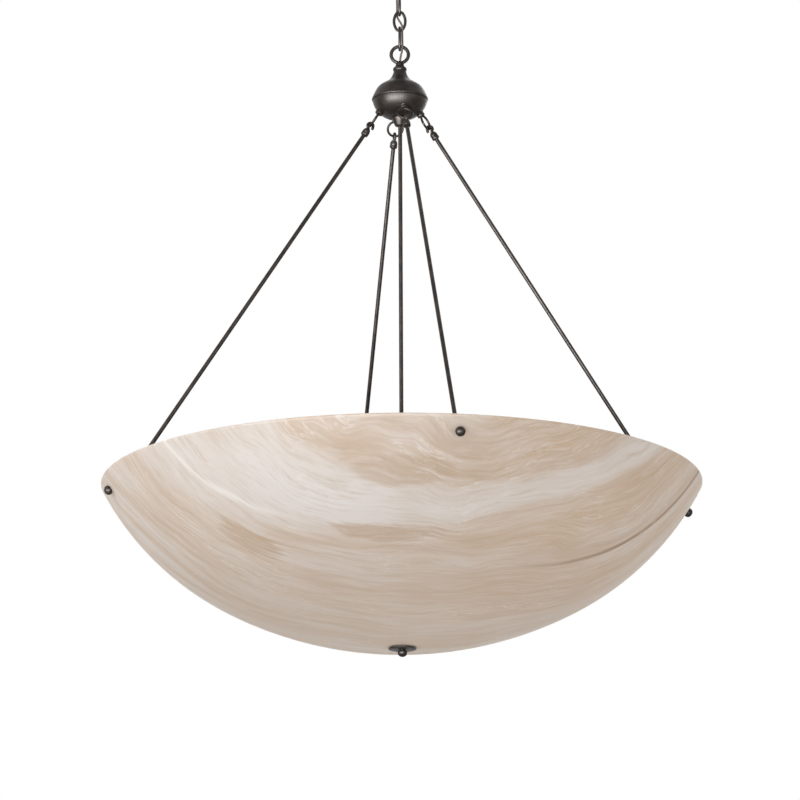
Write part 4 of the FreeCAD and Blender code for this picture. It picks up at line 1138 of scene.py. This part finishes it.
@dataclass
class Bowl:
    """Stone-look bowl with a rounded rim, its cap knobs, the stem and the finial."""

    radius: float = 458.3
    crown_angle: float = 28.3
    rim_angle: float = 62.2
    wall: float = 5.0
    rim_round: float = 2.1
    stem_hole: float = 3.6
    knob_drop: float = 22.5
    knob_radius: float = 7.3
    knob_height: float = 9.0
    knob_neck: float = 1.5
    knob_stud: float = 9.9

    def __post_init__(self) -> None:
        """Solve the two tangent arcs: r = R1 sin a + R2 (sin A - sin a), depth likewise with cosines."""
        self.base, self.rim = span("bowl")
        crown, edge = math.radians(self.crown_angle), math.radians(self.rim_angle)
        rows = [[math.sin(crown), math.sin(edge) - math.sin(crown)],
                [1 - math.cos(crown), math.cos(crown) - math.cos(edge)]]
        self.crown_arc, self.side_arc = np.linalg.solve(np.array(rows), [self.radius, self.rim - self.base])
        self.crown_z = self.base + self.crown_arc
        gap = self.crown_arc - self.side_arc
        self.side_r, self.side_z = gap * math.sin(crown), self.crown_z - gap * math.cos(crown)

    def skin(self, inset: float, steps: int) -> Array:
        """Points of the outline moved in by inset: centre plus arc radius times (sin a, -cos a).

        Args:
            inset: distance inwards from the outer skin.
            steps: points on each of the two arcs.

        Returns:
            Radius and height, n by 2, from the stem's hole up to where the rim's rounding starts.
        """
        crown, side = self.crown_arc - inset, self.side_arc - inset
        change = math.radians(self.crown_angle)
        last = self.rim - self.rim_round
        low = np.linspace(math.asin(self.stem_hole / crown), change, steps)
        high = np.linspace(change, math.acos((self.side_z - last) / side), steps)[1:]
        lower = np.stack([crown * np.sin(low), self.crown_z - crown * np.cos(low)], axis=1)
        upper = np.stack([self.side_r + side * np.sin(high), self.side_z - side * np.cos(high)], axis=1)
        return np.vstack([lower, upper])

    def shell(self) -> Array:
        """The whole bowl: outer skin, rounded rim, inner skin and the hole for the stem."""
        outer, inner = self.skin(0.0, 70), self.skin(self.wall, 50)[::-1]
        (out_r, _), (in_r, in_z) = outer[-1], inner[0]
        outline = Outline(*outer[0])
        outline.points.append(outer[1:])
        outline.curve((out_r - 0.25, self.rim - 0.9), (out_r - 1.3, self.rim - 0.1),
                      ((out_r + in_r) / 2, self.rim), (in_r + 0.9, self.rim - 0.3), (in_r, in_z), steps=4)
        outline.points.append(inner[1:])
        outline.line(*outer[0], steps=1)
        return outline.turned(320)

    def knob(self, seat: Seat, stud: float) -> Array:
        """Cap knob: a neck, a sharp lower edge with a small bead, and a dome, with its stud."""
        r, foot, pin, neck = self.knob_radius, self.knob_neck, 2.4, 4.4
        outline = (Outline(0, -stud).lines((pin, -stud), (pin, 0), (neck, 0), (neck, foot), (r * 0.86, foot))
                   .curve((r * 0.94, foot + 0.35), (r, foot + 1.3), (r, foot + 2.5))
                   .curve((r * 0.94, foot + 4.9), (r * 0.74, foot + 7.0), (r * 0.40, foot + 8.55),
                          (0, foot + self.knob_height)))
        return seat.place(outline.turned(48))

    def build(self, studio: Studio) -> None:
        """Make the bowl and what is fixed to it."""
        studio.add(mesh_of("stone_bowl", self.shell(), sharp=40), Finish.STONE, "pendant", "bowl")
        lean = math.acos((self.side_z - self.rim + self.knob_drop) / self.side_arc)
        normal_r, normal_z = math.sin(lean), -math.cos(lean)
        seat_r = self.side_r + self.side_arc * normal_r
        knobs = []
        for side in Side:
            outward = side.outward
            place = outward * seat_r + UP * (self.rim - self.knob_drop)
            seat = Seat(place, outward * normal_r + UP * normal_z, np.cross(UP, outward))
            knobs.append(self.knob(seat, self.knob_stud))
        studio.bronze("cap_knobs", "rim_knobs", *knobs)
        self.finial(studio)
        self.stem(studio)

    def finial(self, studio: Studio) -> None:
        """Dished washer and the cap knob under it."""
        foot, high = span("finial_washer")
        flat, edge, plate, turn_up = 15, 21.3, 0.8, 18
        top, rim = high - 0.4, foot + 1.15
        outline = (Outline(STEM_RADIUS, foot).line(flat, foot, 4)
                   .curve((turn_up, foot + 0.35), (edge - 0.3, rim), (edge, foot + 1.5),
                          (edge - 0.3, rim + plate))
                   .curve((turn_up, high - 0.42), (flat, top)).lines((STEM_RADIUS, top), (STEM_RADIUS, foot)))
        studio.bronze("finial_disc", "finial_washer", outline.turned(96))
        studio.bronze("finial_cap", "finial_knob", self.knob(Seat(UP * span("finial_knob")[1], -UP), 0.0))

    def stem(self, studio: Studio) -> None:
        """Thin tube on the axis."""
        (foot, top), ease, outer = span("centre_stem"), 0.2, STEM_RADIUS
        outline = Outline(outer - ease, foot).lines(
            (outer, foot + ease), (outer, top - ease), (outer - ease, top), (BORE, top), (BORE, foot),
            (outer - ease, foot))
        studio.bronze("stem_tube", "centre_stem", outline.turned(40))


@dataclass
class LampCluster:
    """Six lamp holders and bulbs round a turned can inside the bowl."""

    count: int = 6
    can_radius: float = 40.0
    can_wall: float = 1.6
    tilt: float = 12.0
    arm: float = 12.0
    arm_radius: float = 5.0
    holder: float = 48.0
    holder_radius: float = 19.5
    mouth_radius: float = 17.0
    cap_length: float = 27.0
    cap_radius: float = 13.2
    cap_tip: float = 4.6
    thread_depth: float = 0.45
    thread_pitch: float = 3.6
    bulb_radius: float = 30.0
    bulb_length: float = 82.0

    def lamp(self, points: Array, index: int) -> Array:
        """A lamp piece, made along +Z from its root, to its place round the can."""
        low, high = span("cluster_body")
        angle = math.radians(FIRST_AZIMUTH + 360 * index / self.count)
        outward = np.array([math.cos(angle), math.sin(angle), 0.0])
        lift = math.radians(self.tilt)
        root = outward * (self.can_radius - self.can_wall / 2) + UP * (low + high) / 2
        axis = outward * math.cos(lift) + UP * math.sin(lift)
        return Seat(root, axis, np.cross(UP, outward)).place(points)

    def can(self) -> Array:
        """The can's profile: two stepped rims round a plain band, with a wall's thickness."""
        (z0, z1), r, w, hole = span("cluster_body"), self.can_radius, self.can_wall, STEM_RADIUS
        flat, soft, near = r - 9, r - 3, r - 0.6
        outline = (Outline(hole, z0).lines((flat, z0))
                   .curve((soft, z0 + 1.6), (near, z0 + 4), (r, z0 + 7)).lines((r, z1 - 7))
                   .curve((near, z1 - 4), (soft, z1 - 1.6), (flat, z1))
                   .lines((12, z1), (hole, z1), (hole, z1 - w), (r - 10, z1 - w), (r - w, z1 - 8),
                          (r - w, z0 + 8), (r - 10, z0 + w), (hole, z0 + w), (hole, z0)))
        return outline.turned(96)

    def holder_shape(self) -> Array:
        """Arm, tapered back, ribbed sleeve and the open cup."""
        a, front, r = self.arm, self.arm + self.holder, self.holder_radius
        floor, dip, stalk, mouth = front - self.cap_length, r - 0.6, self.arm_radius, self.mouth_radius
        outline = (Outline(0, -self.can_wall).lines((stalk, -self.can_wall), (stalk, a), (12.4, a))
                   .curve((13, a + 0.6), (15, a + 5), (18.8, a + 11), (r, a + 13)))
        for rib in range(4):
            z = a + 16 + 4 * rib
            outline.lines((r, z), (dip, z + 0.6), (dip, z + 1.8), (r, z + 2.4))
        outline.lines((r, front - 0.8), (dip, front), (mouth + 0.4, front), (mouth, front - 0.5),
                      (mouth, floor), (0, floor))
        return outline.turned(48)

    def cap_shape(self) -> Array:
        """Screw cap: radius = mean + depth times the sine of height over pitch less the turn."""
        foot = self.arm + self.holder - self.cap_length
        height = np.linspace(0, self.cap_length, 70)[:, None]
        turn = (np.arange(48) * math.tau / 48)[None, :]
        tip, small = 5.4, self.cap_tip
        thread = self.thread_depth * np.sin(math.tau * height / self.thread_pitch - turn)
        fade = np.clip((height - tip) / 2, 0, 1) * np.clip((self.cap_length - height) / 3, 0, 1)
        cone = small + (self.cap_radius - 0.5 - small) * np.clip(height / tip, 0, 1) ** 0.7
        radius = cone + thread * fade
        body = np.stack([radius * np.cos(turn), radius * np.sin(turn), foot + height + 0 * turn], axis=-1)
        centre = np.zeros((1, 48, 3))
        return np.concatenate([centre + [0, 0, foot], body, centre + [0, 0, foot + self.cap_length]])

    def bulb_shape(self) -> Array:
        """Pear-shaped bulb: a collar, a soft waist and a round end."""
        foot, r, neck = self.arm + self.holder, self.bulb_radius, 14.0
        centre = foot + self.bulb_length - r
        outline = (Outline(0, foot).lines((neck - 0.6, foot))
                   .curve((neck, foot + 0.8), (neck + 0.6, foot + 8), (neck + 3.4, foot + 18),
                          (r * 0.82, centre - r * 0.573), steps=8)
                   .arc((r * 0.95, centre + r * 0.31), (0, centre + r), 40))
        return outline.turned(64)

    def build(self, studio: Studio) -> None:
        """Make the cluster; the caps are one piece, as their node is."""
        studio.add(mesh_of("lamp_can", self.can()), Finish.ENAMEL, "pendant", "cluster_body")
        cap = self.cap_shape()
        plan = (("holder_", self.holder_shape(), Finish.CERAMIC, "lamp_holder_"),
                ("bulb_", self.bulb_shape(), Finish.BULB, "bulb_glass_"))
        for index in range(self.count):
            word = "%d" % (index + 1)
            for name, shape, finish, node in plan:
                studio.add(mesh_of(name + word, self.lamp(shape, index)), finish, "pendant", node + word)
        caps = mesh_of("screw_caps", *[self.lamp(cap, index) for index in range(self.count)])
        studio.add(caps, Finish.BRASS, "pendant", "bulb_caps")


# ---------------------------------------------------------------- studio set
@dataclass(frozen=True)
class SoftBox:
    """One large area lamp that looks at a point of the light."""

    name: str
    place: tuple[float, float, float]
    size: float
    power: float
    height: Optional[float] = None
    sheen_only: bool = False

    def build(self, target: Vector) -> None:
        """Hang the lamp and turn it to the target; a sheen-only lamp shows in reflections alone."""
        lamp = bpy.data.lights.new(self.name, "AREA")
        lamp.shape = "RECTANGLE"
        lamp.size = self.size
        lamp.size_y = self.height or self.size
        lamp.energy = self.power
        holder = bpy.data.objects.new(self.name, lamp)
        holder.visible_camera = False
        holder.visible_diffuse = not self.sheen_only
        holder.location = self.place
        holder.rotation_euler = (target - Vector(self.place)).to_track_quat("-Z", "Y").to_euler()
        bpy.context.scene.collection.objects.link(holder)


@dataclass
class StudioSet:
    """Camera at the photograph's angle, white surround, pale floor and soft lamps."""

    camera_distance: float = 6.5741
    camera_below_rim: float = 1.5464
    camera_pitch: float = 14.346
    camera_roll: float = 0.250
    camera_pan: float = 0.018
    focal_length: float = 199.476
    sensor_width: float = 36.0
    floor_z: float = -2.75 / MM
    floor_rings: tuple[float, ...] = (1.0 / MM, 3.0 / MM, 6.0 / MM, 9.0 / MM)
    surround: float = 0.53
    lamps: tuple[SoftBox, ...] = (
        SoftBox("key_upper_left", (-3.2, -2.9, 0.7), 2.2, 106.0),
        SoftBox("fill_right", (3.4, -3.0, -0.6), 2.6, 34.0),
        SoftBox("front_low", (-0.6, -4.4, -2.2), 2.4, 16.0),
        SoftBox("back_top", (0.8, 3.0, 0.8), 2.4, 30.0),
        SoftBox("low_window", (-1.4, -3.9, -2.5), 6.6, 2300.0, 1.9, True),
    )

    def camera(self) -> None:
        """Place the camera: below the rim, tilted up, with the photograph's slight roll."""
        data = bpy.data.cameras.new("photo_camera")
        data.lens = self.focal_length
        data.sensor_width = self.sensor_width
        holder = bpy.data.objects.new("photo_camera", data)
        turn = Matrix.Rotation(math.radians(self.camera_pan), 4, "Z")
        turn = turn @ Matrix.Rotation(math.radians(90 + self.camera_pitch), 4, "X")
        turn = turn @ Matrix.Rotation(math.radians(-self.camera_roll), 4, "Z")
        rim = span("bowl")[1] * MM
        place = (0, -self.camera_distance, rim - self.camera_below_rim)
        holder.matrix_world = Matrix.Translation(place) @ turn
        bpy.context.scene.collection.objects.link(holder)
        bpy.context.scene.camera = holder

    @staticmethod
    def seen(tree: bpy.types.NodeTree) -> bpy.types.NodeSocket:
        """One where the camera sees the surface itself or in a reflection or through glass, else nought."""
        rays = tree.nodes.new("ShaderNodeLightPath")
        seen = rays.outputs["Is Camera Ray"]
        for kind in ("Is Transmission Ray", "Is Glossy Ray"):
            either = tree.nodes.new("ShaderNodeMath")
            either.operation = "MAXIMUM"
            tree.links.new(seen, either.inputs[0])
            tree.links.new(rays.outputs[kind], either.inputs[1])
            seen = either.outputs[0]
        return seen

    def world(self) -> None:
        """White where it is seen, a plain soft grey as light."""
        world = bpy.data.worlds.new("studio_white")
        world.use_nodes = True
        bpy.context.scene.world = world
        tree = world.node_tree
        background = tree.nodes["Background"]
        shade = tree.nodes.new("ShaderNodeMix")
        shade.data_type = "RGBA"
        tree.links.new(self.seen(tree), shade.inputs[0])
        shade.inputs[6].default_value = (self.surround, self.surround, self.surround, 1)
        shade.inputs[7].default_value = (1, 1, 1, 1)
        tree.links.new(shade.outputs[2], background.inputs["Color"])

    def floor(self) -> None:
        """A round pale floor below the light: rings of radius, each a circle of points."""
        disc = Outline(0.0, self.floor_z)
        for radius in self.floor_rings:
            disc.line(radius, self.floor_z, 1)
        floor = mesh_of("pale_floor", disc.turned(96))
        g = Graph("pale_floor")
        speck = g.band(g.noise(g.place, 30, 3, 0.5), 0.3, 0.7)
        g.set(Base_Color=g.mix(speck, (0.90, 0.90, 0.90), (0.86, 0.86, 0.86)), Roughness=0.9)
        floor.data.materials.append(g.material)

    def build(self) -> None:
        """Set up the whole studio."""
        self.camera()
        self.world()
        self.floor()
        target = Vector((0, 0, (span("bowl")[1] + span("hub_upper_shell")[1]) / 2 * MM))
        for lamp in self.lamps:
            lamp.build(target)
        bpy.context.scene.view_settings.view_transform = "Standard"


def main() -> None:
    """Build the light on its frame, then the studio."""
    logging.basicConfig(level=logging.INFO, format="%(message)s")
    studio = Studio()
    studio.paint_frame()
    for assembly in (CanopyGroup(), Chain(), SupplyCord(), Hub(), Arms(), Bowl(), LampCluster()):
        assembly.build(studio)
    StudioSet().build()


if __name__ == "__main__":
    main()
